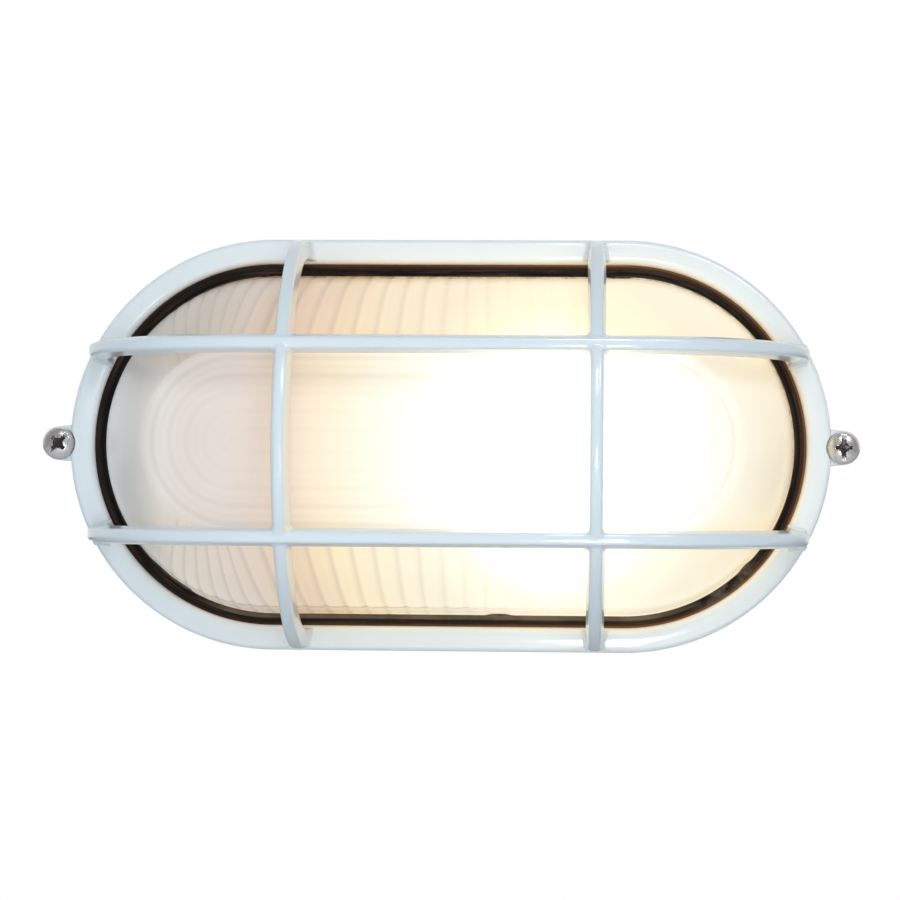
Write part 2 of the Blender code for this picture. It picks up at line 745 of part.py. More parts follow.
def make_cover_screw(word, side, slot_turn, material):
    end = -SCREW_LENGTH + FIT
    stem = [(SCREW_RADIUS / 2, end), (SCREW_RADIUS, end + SCREW_RADIUS / 2), (SCREW_RADIUS, 0)]
    shape = turned(stem + dome_profile(HEAD_RADIUS, HEAD_HEIGHT, 4), FINE_TURN)
    place = (side * SCREW_X, 0, EAR_FACE + FIT)
    screw = add_piece(f"cover_screw_{word}", shape, material, place)
    cuts = (
        ("cross_a", slot_turn, RECESS_SPAN / 2, RECESS_WIDTH / 2, RECESS_DEPTH),
        ("cross_b", slot_turn + math.pi / 2, RECESS_SPAN / 2, RECESS_WIDTH / 2, RECESS_DEPTH),
        ("slot", slot_turn, 2 * HEAD_RADIUS, SLOT_WIDTH / 2, SLOT_DEPTH),
    )
    for cut, turn, half_long, half_wide, deep in cuts:
        shape = prism(turned_box(half_long, half_wide, turn), HEAD_HEIGHT - deep, 2 * HEAD_HEIGHT)
        combine(screw, add_tool(f"{cut}_{word}", shape, place), "DIFFERENCE")


def make_small_screw(name, place, axis, material):
    # The head stands off its seat by the usual fit
    radius = SMALL_SCREW_RADIUS
    stem = [(radius, -SMALL_SCREW_LENGTH + 2 * FIT), (radius, 0)]
    shape = turned(stem + dome_profile(SMALL_HEAD_RADIUS, SMALL_HEAD_HEIGHT, 1), SMALL_TURN)
    seat = Vector(place) + Vector(axis) * FIT
    screw = add_piece(name, shape, material, seat, axis)
    outline = box_outline(2 * SMALL_HEAD_RADIUS, SMALL_SLOT_WIDTH / 2)
    slot = prism(outline, SMALL_HEAD_HEIGHT / 2, 2 * SMALL_HEAD_HEIGHT)
    combine(screw, add_tool(f"{name}_slot", slot, seat, axis), "DIFFERENCE")


# Lampholder and lamp, both along X

def make_holder_body(material):
    shell_end = HOLDER_BASE + SHELL_LENGTH
    profile = [
        (HOLDER_RADIUS - HOLDER_EDGE, 0),
        (HOLDER_RADIUS, HOLDER_EDGE),
        (HOLDER_RADIUS, HOLDER_TAPER),
        (HOLDER_MOUTH + HOLDER_LIP, HOLDER_LENGTH),
        (HOLDER_MOUTH, HOLDER_LENGTH),
        (HOLDER_MOUTH, shell_end),
        (HOLDER_BORE, shell_end),
        (HOLDER_BORE, HOLDER_BASE),
    ]
    place = (HOLDER_BACK_X, 0, LAMP_DEPTH)
    body = add_piece("lampholder_body", turned(profile, FINE_TURN), material, place, (1, 0, 0))
    radius = SMALL_SCREW_RADIUS + SCREW_PLAY
    for side, word in ((-1, "lower"), (1, "upper")):
        hole_place = (HOLDER_BACK_X, side * HOLDER_SCREW_UP, LAMP_DEPTH)
        drill(body, f"holder_hole_{word}", radius, -radius, SMALL_SCREW_LENGTH, hole_place, (1, 0, 0))


def make_holder_shell(material):
    inner = CAP_RADIUS + FIT
    outer = inner + SHELL_WALL
    start = HOLDER_BASE + FIT
    flange = HOLDER_BASE + SHELL_LENGTH + FIT
    rim = (HOLDER_BORE + HOLDER_MOUTH) / 2
    profile = [
        (inner, start),
        (outer, start),
        (outer, flange),
        (rim, flange),
        (rim, flange + SHELL_WALL),
        (inner, flange + SHELL_WALL),
    ]
    place = (HOLDER_BACK_X, 0, LAMP_DEPTH)
    add_piece("lampholder_shell", turned(profile, FINE_TURN, closed=True), material, place, (1, 0, 0))


def make_holder_contact(material):
    # Spring strip on the holder's floor, under the cap's tip
    start_x = HOLDER_BACK_X + HOLDER_BASE + FIT
    shape = prism(box_outline(CONTACT_WIDTH / 2, CONTACT_REACH), 0, CONTACT_THICKNESS)
    add_piece("lampholder_contact", shape, material, (start_x, 0, LAMP_DEPTH), (1, 0, 0))


def make_bracket(material):
    # Pressed angle: a foot on the bosses and a plate behind the lampholder
    front_x = HOLDER_BACK_X - FIT
    back_x = front_x - BRACKET_THICKNESS
    low = BOSS_FACE + FIT
    top = LAMP_DEPTH + BRACKET_OVER
    bend = 2 * BRACKET_THICKNESS
    centre = (front_x - bend, low + bend)
    outer = arc_points(centre, bend, 0, -math.pi / 2, 4)
    inner = arc_points(centre, bend - BRACKET_THICKNESS, -math.pi / 2, 0, 4)
    end_x = front_x - BRACKET_FOOT
    foot_end = [(end_x, low), (end_x, low + BRACKET_THICKNESS)]
    outline = [(front_x, top)] + outer + foot_end + inner + [(back_x, top)]
    half = BRACKET_WIDTH / 2
    rings = [[Vector((x, up, level)) for x, level in outline] for up in (-half, half)]
    bracket = add_piece("lampholder_bracket", skin(rings), material)
    radius = SMALL_SCREW_RADIUS + SCREW_PLAY
    for side, word in ((-1, "lower"), (1, "upper")):
        place = (back_x, side * HOLDER_SCREW_UP, LAMP_DEPTH)
        drill(bracket, f"plate_hole_{word}", radius, -bend, bend, place, (1, 0, 0))
    for word, x, up in small_boss_places()[:2]:
        drill(bracket, f"bracket_hole_{word}", radius, -bend, bend, (x, up, low))


def make_lamp(material):
    centre = LAMP_LENGTH - BULB_RADIUS
    profile = [
        (TIP_RADIUS, 0),
        (TIP_RADIUS, CAP_CONE_START),
        (CAP_RADIUS, CAP_CONE_END),
        (CAP_RADIUS, CAP_LENGTH),
        (NECK_RADIUS, NECK_START),
        (NECK_RADIUS, NECK_START + NECK_LENGTH),
    ]
    for step in range(BULB_STEPS):
        angle = BULB_OPENING * (1 - step / (BULB_STEPS - 0.5))
        profile.append((BULB_RADIUS * math.sin(angle), centre + BULB_RADIUS * math.cos(angle)))
    add_piece("lamp", turned(profile, FINE_TURN), material, (LAMP_TIP_X, 0, LAMP_DEPTH), (1, 0, 0))


# Terminal block, earth point and inner wires

def way_x(way):
    return BLOCK_X + (way - 1) * BLOCK_PITCH


def make_terminal_block(plastic, brass, steel):
    low = BOSS_FACE + FIT
    body = prism(box_outline(BLOCK_HALF, BLOCK_WIDTH / 2), 0, BLOCK_HEIGHT)
    block = add_piece("terminal_block", body, plastic, (BLOCK_X, BLOCK_UP, low))
    # The screw tab starts inside the body, half way along
    tab_half = (BLOCK_HALF / 2 + BLOCK_TAB_LENGTH) / 2
    tab = prism(box_outline(tab_half, SMALL_BOSS_RADIUS), 0, BLOCK_TAB_HEIGHT)
    tab_place = (BLOCK_X + BLOCK_HALF / 2 + tab_half, BLOCK_UP, low)
    combine(block, add_tool("block_tab", tab, tab_place), "UNION")
    radius = SMALL_SCREW_RADIUS + SCREW_PLAY
    drill(block, "tab_hole", radius, -BLOCK_HEIGHT, BLOCK_HEIGHT, (BLOCK_SCREW_X, BLOCK_UP, low))
    seat = (BLOCK_SCREW_X, BLOCK_UP, low + BLOCK_TAB_HEIGHT)
    make_small_screw("terminal_block_screw", seat, (0, 0, 1), steel)
    for way, word in enumerate(("live", "neutral", "earth")):
        make_terminal_way(block, way, word, brass, steel)


def make_terminal_way(block, way, word, brass, steel):
    # A bore along the wires with a brass insert, and two screws in wells
    x = way_x(way)
    centre = (x, BLOCK_UP, WAY_LEVEL)
    drill(block, f"way_{word}", WAY_RADIUS, -BLOCK_WIDTH, BLOCK_WIDTH, centre, (0, 1, 0))
    outer = WAY_RADIUS - FIT
    inner = outer - INSERT_WALL
    half = INSERT_LENGTH / 2
    profile = [(inner, -half), (outer, -half), (outer, half), (inner, half)]
    tube = turned(profile, SMALL_TURN, closed=True)
    add_piece(f"terminal_insert_{word}", tube, brass, centre, (0, 1, 0))
    for side, end in ((-1, "mains"), (1, "lamp")):
        up = BLOCK_UP + side * TERMINAL_SCREW_SPACING / 2
        drill(block, f"well_{word}_{end}", WELL_RADIUS, 0, BLOCK_HEIGHT, (x, up, WAY_LEVEL))
        make_terminal_screw(f"{word}_{end}", (x, up, WAY_LEVEL + WAY_RADIUS), steel)


def make_terminal_screw(word, place, steel):
    profile = [(TERMINAL_SCREW_RADIUS, 0), (TERMINAL_SCREW_RADIUS, TERMINAL_SCREW_LENGTH)]
    screw = add_piece(f"terminal_screw_{word}", turned(profile, SMALL_TURN), steel, place)
    outline = box_outline(WELL_RADIUS, SMALL_SLOT_WIDTH / 2)
    slot = prism(outline, TERMINAL_SCREW_LENGTH * 0.7, TERMINAL_SCREW_LENGTH * 2)
    combine(screw, add_tool(f"slot_{word}", slot, place), "DIFFERENCE")


def make_earth_point(brass, steel):
    # A flat tag with a round end under the screw and a tail that points up
    place = (EARTH_X, EARTH_UP, BOSS_FACE + FIT)
    start = math.pi / 2 + TAG_NECK
    ring = arc_points((0, 0), TAG_RADIUS, start, math.pi * 5 / 2 - TAG_NECK, 12)
    half = ring[-1][0]
    outline = ring + [(half, TAG_LENGTH), (-half, TAG_LENGTH)]
    tag = add_piece("earth_tag", prism(outline, 0, TAG_THICKNESS), brass, place)
    drill(tag, "tag_hole", SMALL_SCREW_RADIUS + SCREW_PLAY, -TAG_THICKNESS, 2 * TAG_THICKNESS, place)
    seat = (EARTH_X, EARTH_UP, BOSS_FACE + FIT + TAG_THICKNESS)
    make_small_screw("earth_screw", seat, (0, 0, 1), steel)


def make_wire(name, ends, material):
    # A smooth line between two ends, each given as (place, direction out)
    (start, start_way), (end, end_way) = ends
    reach = (Vector(end) - Vector(start)).length * WIRE_BOW
    controls = [Vector(start), Vector(start) + Vector(start_way) * reach]
    controls += [Vector(end) + Vector(end_way) * reach, Vector(end)]
    curve = bpy.data.curves.new(name, "CURVE")
    curve.dimensions = "3D"
    curve.bevel_depth = WIRE_RADIUS
    curve.bevel_resolution = 1
    curve.use_fill_caps = True
    line = curve.splines.new("POLY")
    line.points.add(WIRE_STEPS)
    for step in range(WIRE_STEPS + 1):
        t = step / WIRE_STEPS
        shares = ((1 - t) ** 3, 3 * t * (1 - t) ** 2, 3 * t * t * (1 - t), t ** 3)
        place = sum((control * share for control, share in zip(controls, shares)), Vector())
        line.points[step].co = (*place, 1)
    wire = bpy.data.objects.new(name, curve)
    wire.parent = WALL_FRAME
    curve.materials.append(material)
    bpy.context.collection.objects.link(wire)


def make_wires(materials):
    up = BLOCK_UP + BLOCK_WIDTH / 2 + FIT
    for way, word in enumerate(("live", "neutral")):
        # Lamp leads end on the lampholder's side near its base
        turn = LEAD_TURNS[way]
        out = Vector((0, math.cos(turn), math.sin(turn)))
        root = Vector((HOLDER_BACK_X + HOLDER_BASE / 2 + way * LEAD_SPACING, 0, LAMP_DEPTH))
        end = (root + out * (HOLDER_RADIUS + FIT), out)
        make_wire(f"wire_{word}", (((way_x(way), up, WAY_LEVEL), (0, 1, 0)), end), materials[word])
    level = BOSS_FACE + TAG_THICKNESS + WIRE_RADIUS + 2 * FIT
    end = ((EARTH_X, EARTH_UP + TAG_LENGTH - WIRE_RADIUS, level), (0, 1, 0))
    make_wire("wire_earth", (((way_x(2), up, WAY_LEVEL), (0, 1, 0)), end), materials["earth"])


# Cable entries

def make_grommet(material):
    # Blind rubber grommet in the lower entry, pierced when a cable is fitted
    neck = ENTRY_BORE - FIT
    back = INSIDE_RADIUS - ENTRY_FACE - GROMMET_LIP
    front = FIT + GROMMET_LIP
    profile = [
        (neck / 2, back),
        (neck, back),
        (neck, FIT),
        (ENTRY_SEAT, FIT),
        (ENTRY_SEAT, FIT + GROMMET_LIP / 2),
        (ENTRY_SEAT - GROMMET_LIP, front),
        (neck - GROMMET_GRIP, front),
        (neck - GROMMET_GRIP, back + GROMMET_WEB),
    ]
    place = (0, -ENTRY_FACE, ENTRY_LEVEL)
    add_piece("entry_grommet", turned(profile, FINE_TURN), material, place, (0, -1, 0))


def make_blanking_plug(plastic, rubber):
    place = (0, ENTRY_FACE, ENTRY_LEVEL)
    axis = (0, 1, 0)
    stem = ENTRY_BORE - FIT
    hole = stem + FIT
    seal_face = FIT + PLUG_SEAL
    seal = [(hole, FIT), (ENTRY_SEAT, FIT), (ENTRY_SEAT, seal_face), (hole, seal_face)]
    add_piece("plug_seal", turned(seal, FINE_TURN, closed=True), rubber, place, axis)
    low = seal_face + FIT
    top = low + PLUG_HEAD
    edge = PLUG_HEAD / 3
    profile = [(stem, -PLUG_LENGTH), (stem, low), (ENTRY_SEAT, low)]
    profile += [(ENTRY_SEAT, top - edge), (ENTRY_SEAT - edge, top)]
    plug = add_piece("blanking_plug", turned(profile, FINE_TURN), plastic, place, axis)
    outline = box_outline(ENTRY_SEAT * 0.75, PLUG_SLOT_WIDTH / 2)
    slot = prism(outline, top - PLUG_SLOT_DEPTH, top + PLUG_SLOT_DEPTH)
    combine(plug, add_tool("plug_slot", slot, place, axis), "DIFFERENCE")


# Build

clear_scene()
WALL_FRAME = make_frame()

white_coat = make_material("white_powder_coat", (0.80, 0.85, 0.87), 0.25)
stainless = make_material("stainless_steel", (0.62, 0.61, 0.60), 0.25, 1.0)
black_rubber = make_material("black_rubber", (0.02, 0.02, 0.022), 0.6)
frosted_glass = make_material("frosted_glass", (0.93, 0.90, 0.83), 0.45)
ceramic = make_material("white_ceramic", (0.86, 0.85, 0.80), 0.2)
yellow_brass = make_material("brass", (0.75, 0.58, 0.28), 0.3, 1.0)
zinc_steel = make_material("zinc_plated_steel", (0.66, 0.67, 0.68), 0.35, 1.0)
opal_lamp = make_material("opal_lamp", (0.98, 0.95, 0.86), 0.3)
block_plastic = make_material("block_plastic", (0.82, 0.82, 0.78), 0.45)
wire_brown = make_material("wire_brown", (0.20, 0.08, 0.03), 0.5)
wire_blue = make_material("wire_blue", (0.03, 0.12, 0.45), 0.5)
wire_green = make_material("wire_green_yellow", (0.25, 0.50, 0.05), 0.5)
plug_plastic = make_material("white_plastic", (0.80, 0.83, 0.84), 0.4)

make_housing(white_coat)
make_guard(white_coat)
make_gasket(black_rubber)
make_glass(frosted_glass)
make_cover_screw("left", -1, math.radians(45), stainless)
make_cover_screw("right", 1, math.radians(90), stainless)

make_holder_body(ceramic)
make_holder_shell(yellow_brass)
make_holder_contact(yellow_brass)
make_bracket(zinc_steel)
for screw_word, screw_x, screw_up in small_boss_places()[:2]:
    foot_place = (screw_x, screw_up, BOSS_FACE + FIT + BRACKET_THICKNESS)
    make_small_screw(f"bracket_screw_{screw_word[5:]}", foot_place, (0, 0, 1), zinc_steel)
for screw_side, screw_word in ((-1, "lower"), (1, "upper")):
    plate_place = (HOLDER_BACK_X - FIT - BRACKET_THICKNESS, screw_side * HOLDER_SCREW_UP, LAMP_DEPTH)
    make_small_screw(f"lampholder_screw_{screw_word}", plate_place, (-1, 0, 0), zinc_steel)
make_lamp(opal_lamp)

make_terminal_block(block_plastic, yellow_brass, zinc_steel)
make_earth_point(yellow_brass, zinc_steel)
make_wires({"live": wire_brown, "neutral": wire_blue, "earth": wire_green})
make_grommet(black_rubber)
make_blanking_plug(plug_plastic, black_rubber)
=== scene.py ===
# Dressed scene of the oval bulkhead light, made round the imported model
import math

import bmesh
import bpy
from mathutils import Matrix, Vector


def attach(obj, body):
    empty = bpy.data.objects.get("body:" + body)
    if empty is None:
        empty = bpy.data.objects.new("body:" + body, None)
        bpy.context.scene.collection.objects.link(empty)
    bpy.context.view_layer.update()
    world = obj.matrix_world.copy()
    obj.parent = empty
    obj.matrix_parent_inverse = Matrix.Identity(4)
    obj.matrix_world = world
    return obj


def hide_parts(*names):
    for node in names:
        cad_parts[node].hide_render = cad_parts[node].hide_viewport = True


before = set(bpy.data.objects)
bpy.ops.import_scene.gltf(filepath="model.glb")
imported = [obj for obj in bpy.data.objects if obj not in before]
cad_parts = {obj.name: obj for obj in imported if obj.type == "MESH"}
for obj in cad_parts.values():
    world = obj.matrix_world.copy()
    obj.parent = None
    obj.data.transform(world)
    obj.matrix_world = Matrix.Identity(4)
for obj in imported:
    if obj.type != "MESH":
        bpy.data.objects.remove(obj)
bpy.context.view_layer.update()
mm = 0.001
print("stage 1: packed model loaded,", len(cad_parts), "nodes")


# Camera at the photograph's place, turned by three small angles in degrees
camera = {
    "place": (35.1, -755.1, -15.9),
    "yaw": 2.79,
    "pitch": 1.18,
    "roll": 0.42,
    "lens": 108.16,
}


def placeCamera(settings):
    yaw, pitch, roll = (math.radians(settings[key]) for key in ("yaw", "pitch", "roll"))
    ahead = Vector((-math.sin(yaw) * math.cos(pitch), math.cos(yaw) * math.cos(pitch), math.sin(pitch)))
    level = Vector((math.cos(yaw), math.sin(yaw), 0))
    upright = level.cross(ahead)
    right = math.cos(roll) * level + math.sin(roll) * upright
    up = math.cos(roll) * upright - math.sin(roll) * level
    data = bpy.data.cameras.new("frontCamera")
    data.lens = settings["lens"]
    data.sensor_width = 36
    item = bpy.data.objects.new("frontCamera", data)
    bpy.context.collection.objects.link(item)
    turn = Matrix((right, up, -ahead)).transposed().to_4x4()
    item.matrix_world = Matrix.Translation(Vector(settings["place"]) * mm) @ turn
    bpy.context.scene.camera = item


placeCamera(camera)


# Node helpers. A wire is one output of a node: sums and products of wires add
# math nodes, and wire["Z"] is another output of the same node.

class Wire:
    def __init__(self, node, output=0):
        self.node = node
        self.output = output

    def __getitem__(self, output):
        return Wire(self.node, output)

    def __abs__(self):
        return mathOf("ABSOLUTE", self)

    def __add__(self, other):
        return mathOf("ADD", self, other)

    def __sub__(self, other):
        return mathOf("SUBTRACT", self, other)

    def __rsub__(self, other):
        return mathOf("SUBTRACT", other, self)

    def __mul__(self, other):
        return mathOf("MULTIPLY", self, other)

    def __truediv__(self, other):
        return mathOf("DIVIDE", self, other)

    def __pow__(self, other):
        return mathOf("POWER", self, other)


def fill(node, sockets):
    # Links wires and sets plain values; colours are given as three numbers
    for key, value in dict(sockets).items():
        socket = node.inputs[key]
        if isinstance(value, Wire):
            node.id_data.links.new(value.node.outputs[value.output], socket)
        else:
            socket.default_value = (*value, 1) if socket.type == "RGBA" else value


def addNode(tree, kind, sockets=(), output=0, **options):
    node = tree.nodes.new(kind)
    for key, value in options.items():
        setattr(node, key, value)
    fill(node, sockets)
    return Wire(node, output)


def treeOf(*values):
    return next(value.node.id_data for value in values if isinstance(value, Wire))


def mathOf(operation, *values, clamp=False):
    return addNode(treeOf(*values), "ShaderNodeMath", enumerate(values), operation=operation, use_clamp=clamp)


def vectorOf(operation, *values):
    keys = (0, "Scale") if operation == "SCALE" else range(len(values))
    output = 1 if operation in ("LENGTH", "DISTANCE", "DOT_PRODUCT") else 0
    return addNode(treeOf(*values), "ShaderNodeVectorMath", zip(keys, values), output, operation=operation)


def joined(x=0.0, y=0.0, z=0.0):
    return addNode(treeOf(x, y, z), "ShaderNodeCombineXYZ", {"X": x, "Y": y, "Z": z})


def split(vector):
    return addNode(treeOf(vector), "ShaderNodeSeparateXYZ", {"Vector": vector})


def spread(value, low, high, start=0.0, end=1.0, smooth=False):
    # Clamped map from low..high to start..end
    sockets = {"Value": value, "From Min": low, "From Max": high, "To Min": start, "To Max": end}
    kind = "SMOOTHSTEP" if smooth else "LINEAR"
    return addNode(treeOf(value), "ShaderNodeMapRange", sockets, "Result", interpolation_type=kind)


def groove(count, sharpness):
    # 1 on each whole number, falling away on both sides
    return abs(mathOf("COSINE", count * math.pi)) ** sharpness


def blend(share, first, second, kind="MIX"):
    sockets = {0: share, 6: first, 7: second}
    return addNode(treeOf(share), "ShaderNodeMix", sockets, 2, data_type="RGBA", blend_type=kind)


def colorRamp(value, stops):
    ramp = addNode(treeOf(value), "ShaderNodeValToRGB", {"Fac": value}, "Color")
    elements = ramp.node.color_ramp.elements
    elements.remove(elements[1])
    elements[0].color = (*stops[0][1], 1)
    for place, color in stops[1:]:
        elements.new(place).color = (*color, 1)
    return ramp


def noiseOf(place, scale, detail=3.0, roughness=0.5):
    sockets = {"Vector": place, "Scale": scale, "Detail": detail, "Roughness": roughness}
    return addNode(treeOf(place), "ShaderNodeTexNoise", sockets, "Fac")


def placeIn(tree):
    return addNode(tree, "ShaderNodeTexCoord", output="Object")


def newTree(name, kind, inputs, outputs):
    # A node group with named sockets: an input takes its type from its value,
    # or from its label where it has none
    tree = bpy.data.node_groups.new(name, kind)
    kinds = {float: "Float", int: "Int", bool: "Bool", tuple: "Color" if kind == "ShaderNodeTree" else "Vector"}
    for label, value in inputs.items():
        socketKind = kinds.get(type(value), label)
        socket = tree.interface.new_socket(label, in_out="INPUT", socket_type="NodeSocket" + socketKind)
        if value is not None:
            socket.default_value = (*value, 1) if socketKind == "Color" else value
    for label, socketKind in outputs.items():
        tree.interface.new_socket(label, in_out="OUTPUT", socket_type="NodeSocket" + socketKind)
    return tree, addNode(tree, "NodeGroupInput"), tree.nodes.new("NodeGroupOutput")


def geometryTree(name, values):
    inputs = {"Geometry": None, **values, "Material": None}
    tree, given, end = newTree(name, "GeometryNodeTree", inputs, {"Geometry": "Geometry"})
    tree.is_modifier = True
    return tree, given, end


def closeTree(given, end, geometry):
    tree = end.id_data
    real = addNode(tree, "GeometryNodeRealizeInstances", {"Geometry": geometry})
    named = addNode(tree, "GeometryNodeSetMaterial", {"Geometry": real, "Material": given["Material"]})
    fill(end, {"Geometry": named})
    return tree


def pushOut(given, end, height):
    # Moves the surface along its normals and closes the tree
    tree = end.id_data
    offset = vectorOf("SCALE", addNode(tree, "GeometryNodeInputNormal"), height)
    pushed = addNode(tree, "GeometryNodeSetPosition", {"Geometry": given["Geometry"], "Offset": offset})
    return closeTree(given, end, pushed)


def growWith(item, tree, values):
    # Adds the tree as a modifier and sets its inputs by their identifiers
    step = item.modifiers.new(tree.name, "NODES")
    step.node_group = tree
    for socket in tree.interface.items_tree:
        if socket.in_out == "INPUT" and socket.name in values:
            step[socket.identifier] = values[socket.name]


# Mesh helpers

def linkMesh(name, work, smooth=True):
    mesh = bpy.data.meshes.new(name)
    work.to_mesh(mesh)
    work.free()
    if smooth:
        mesh.shade_smooth()
    item = bpy.data.objects.new(name, mesh)
    bpy.context.collection.objects.link(item)
    return item


def settle(item, crease=None):
    # Turns the evaluated result into the object's plain mesh
    graph = bpy.context.evaluated_depsgraph_get()
    mesh = bpy.data.meshes.new_from_object(item.evaluated_get(graph))
    item.modifiers.clear()
    item.data = mesh
    mesh.name = item.name
    mesh.shade_smooth()
    if crease:
        mesh.set_sharp_from_angle(angle=math.radians(crease))
    return item


def boolean(item, tool, operation="DIFFERENCE"):
    step = item.modifiers.new(tool.name, "BOOLEAN")
    step.operation = operation
    step.solver = "EXACT"
    step.object = tool


def bevel(item, width, segments, limit):
    step = item.modifiers.new("easedEdges", "BEVEL")
    step.width = width * mm
    step.segments = segments
    step.limit_method = "ANGLE"
    step.angle_limit = math.radians(limit)


def dropObjects(items):
    for item in items:
        bpy.data.objects.remove(item)


def dress(item, material, replaced):
    item.data.materials.clear()
    item.data.materials.append(material)
    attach(item, "root")
    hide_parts(*replaced)
    print("  piece", item.name, len(item.data.polygons), "faces")


# The outline of the light: a band with half-round ends. Places here are
# (x, up, out of the wall) in millimetres, and atWall turns them into the frame.
outline = {
    "straight": 46.2,        # half of the straight side
    "radius": 54.2,
    "rimBack": 37.0,
    "lipBack": 43.0,
    "rimFace": 44.7,
}


def atWall(x, up, out):
    return Vector((x, -out, up)) * mm


def ovalPlaces(straight, radius, arcSteps, sideSteps):
    # Counter-clockwise as seen from the front, from the lower right corner
    places = []
    for side in (1, -1):
        for step in range(arcSteps):
            angle = math.pi * (step / arcSteps - 0.5)
            places.append((side * (straight + radius * math.cos(angle)), side * radius * math.sin(angle)))
        for step in range(sideSteps):
            places.append((side * straight * (1 - 2 * step / sideSteps), side * radius))
    return places


def stitch(work, loops):
    # Faces between neighbouring rings, where a ring of one vertex is a pole
    for near, far in zip(loops, loops[1:]):
        count = max(len(near), len(far))
        for index in range(count):
            after = (index + 1) % count
            corners = [near[index % len(near)], near[after % len(near)], far[after % len(far)], far[index % len(far)]]
            work.faces.new(list(dict.fromkeys(corners)))


def facedOut(work):
    bmesh.ops.recalc_face_normals(work, faces=work.faces)
    return work


def sweptRing(section, arcSteps, sideSteps, closed=True):
    # Section as (inset from the rim's edge, out of the wall)
    work = bmesh.new()
    loops = []
    for inset, out in section:
        ring = ovalPlaces(outline["straight"], outline["radius"] - inset, arcSteps, sideSteps)
        loops.append([work.verts.new(atWall(x, up, out)) for x, up in ring])
    stitch(work, loops + loops[:1] if closed else loops)
    return facedOut(work)


def arcOf(centre, radius, start, end, steps):
    turns = [math.radians(start + (end - start) * step / steps) for step in range(steps + 1)]
    return [(centre[0] + radius * math.cos(turn), centre[1] + radius * math.sin(turn)) for turn in turns]


def turnedWork(profile, steps):
    # Profile as (radius, out of the wall), turned about the line out of the wall
    work = bmesh.new()
    loops = []
    for radius, out in profile:
        ring = []
        for step in range(steps if radius else 1):
            turn = 2 * math.pi * step / steps
            ring.append(work.verts.new((radius * math.cos(turn) * mm, -out * mm, radius * math.sin(turn) * mm)))
        loops.append(ring)
    stitch(work, loops)
    return facedOut(work)


def prismWork(places, low, high, setting=atWall):
    # Prism on an outline of (x, up), from low to high out of the wall
    work = bmesh.new()
    loops = [[work.verts.new(setting(x, up, level)) for x, up in places] for level in (low, high)]
    stitch(work, loops)
    for loop in loops:
        work.faces.new(loop)
    return facedOut(work)


def moved(work, place):
    bmesh.ops.translate(work, vec=place, verts=work.verts)
    return work


# Shared effects, built once and placed in each material with its own values
surfaceOutputs = {"Height": "Float", "Color": "Color", "Roughness": "Float"}


def buildOvalReach():
    # Distance from the straight middle line of the light, in millimetres
    tree, given, end = newTree("ovalReach", "ShaderNodeTree", {"Straight": outline["straight"]},
                               {"Reach": "Float", "Along": "Float", "Out": "Float"})
    parts = split(vectorOf("SCALE", placeIn(tree), 1000.0))
    beyond = mathOf("MAXIMUM", abs(parts["X"]) - given["Straight"], 0.0)
    reach = mathOf("SQRT", beyond ** 2.0 + parts["Z"] ** 2.0)
    fill(end, {"Reach": reach, "Along": parts["X"], "Out": parts["Y"] * -1.0})
    return tree


def buildCoatSurface():
    # Soft ripple of a sprayed coat, with faint shade changes and dust in hollows
    tree, given, end = newTree("coatSurface", "ShaderNodeTree", {
        "Ripple scale": 260.0, "Grain scale": 1500.0, "Grain share": 0.25, "Base": (0.8, 0.85, 0.87),
        "Shade": (0.7, 0.75, 0.77), "Dust": 0.2}, surfaceOutputs)
    place = placeIn(tree)
    ripple = noiseOf(place, given["Ripple scale"], 2.0)
    grain = noiseOf(place, given["Grain scale"], 3.0, 0.6)
    cloud = noiseOf(place, 22.0, 4.0, 0.55)
    hollow = spread(addNode(tree, "ShaderNodeNewGeometry", output="Pointiness"), 0.5, 0.42)
    dusty = mathOf("MULTIPLY", hollow * spread(cloud, 0.3, 0.7), given["Dust"], clamp=True)
    shade = mathOf("ADD", spread(cloud, 0.35, 0.75, 0.0, 0.35), dusty, clamp=True)
    fill(end, {"Height": ripple + grain * given["Grain share"], "Color": blend(shade, given["Base"], given["Shade"]),
               "Roughness": spread(cloud + dusty, 0.3, 1.0)})
    return tree


def buildMetalGrain():
    # Fine turned or rolled lines with darker stains
    tree, given, end = newTree("metalGrain", "ShaderNodeTree", {
        "Scale": 900.0, "Base": (0.6, 0.6, 0.6), "Stain": (0.3, 0.28, 0.26), "Stain share": 0.4}, surfaceOutputs)
    place = placeIn(tree)
    lines = noiseOf(vectorOf("MULTIPLY", place, (1.0, 6.0, 1.0)), given["Scale"], 3.0, 0.6)
    stains = spread(noiseOf(place, 350.0, 4.0, 0.6), 0.45, 0.75)
    mask = mathOf("MULTIPLY", stains, given["Stain share"], clamp=True)
    fill(end, {"Height": lines, "Color": blend(mask, given["Base"], given["Stain"]),
               "Roughness": mathOf("ADD", lines * 0.5, mask, clamp=True)})
    return tree


ovalReach = buildOvalReach()
coatSurface = buildCoatSurface()
metalGrain = buildMetalGrain()


def placeGroup(tree, group, sockets=()):
    return addNode(tree, "ShaderNodeGroup", sockets, node_tree=group)


def newMaterial(name, sockets):
    material = bpy.data.materials.new(name)
    material.use_nodes = True
    shader = material.node_tree.nodes["Principled BSDF"]
    fill(shader, sockets)
    return material, material.node_tree, shader


def addBump(shader, height, strength, distance):
    sockets = {"Height": height, "Strength": strength, "Distance": distance}
    fill(shader, {"Normal": addNode(shader.id_data, "ShaderNodeBump", sockets)})


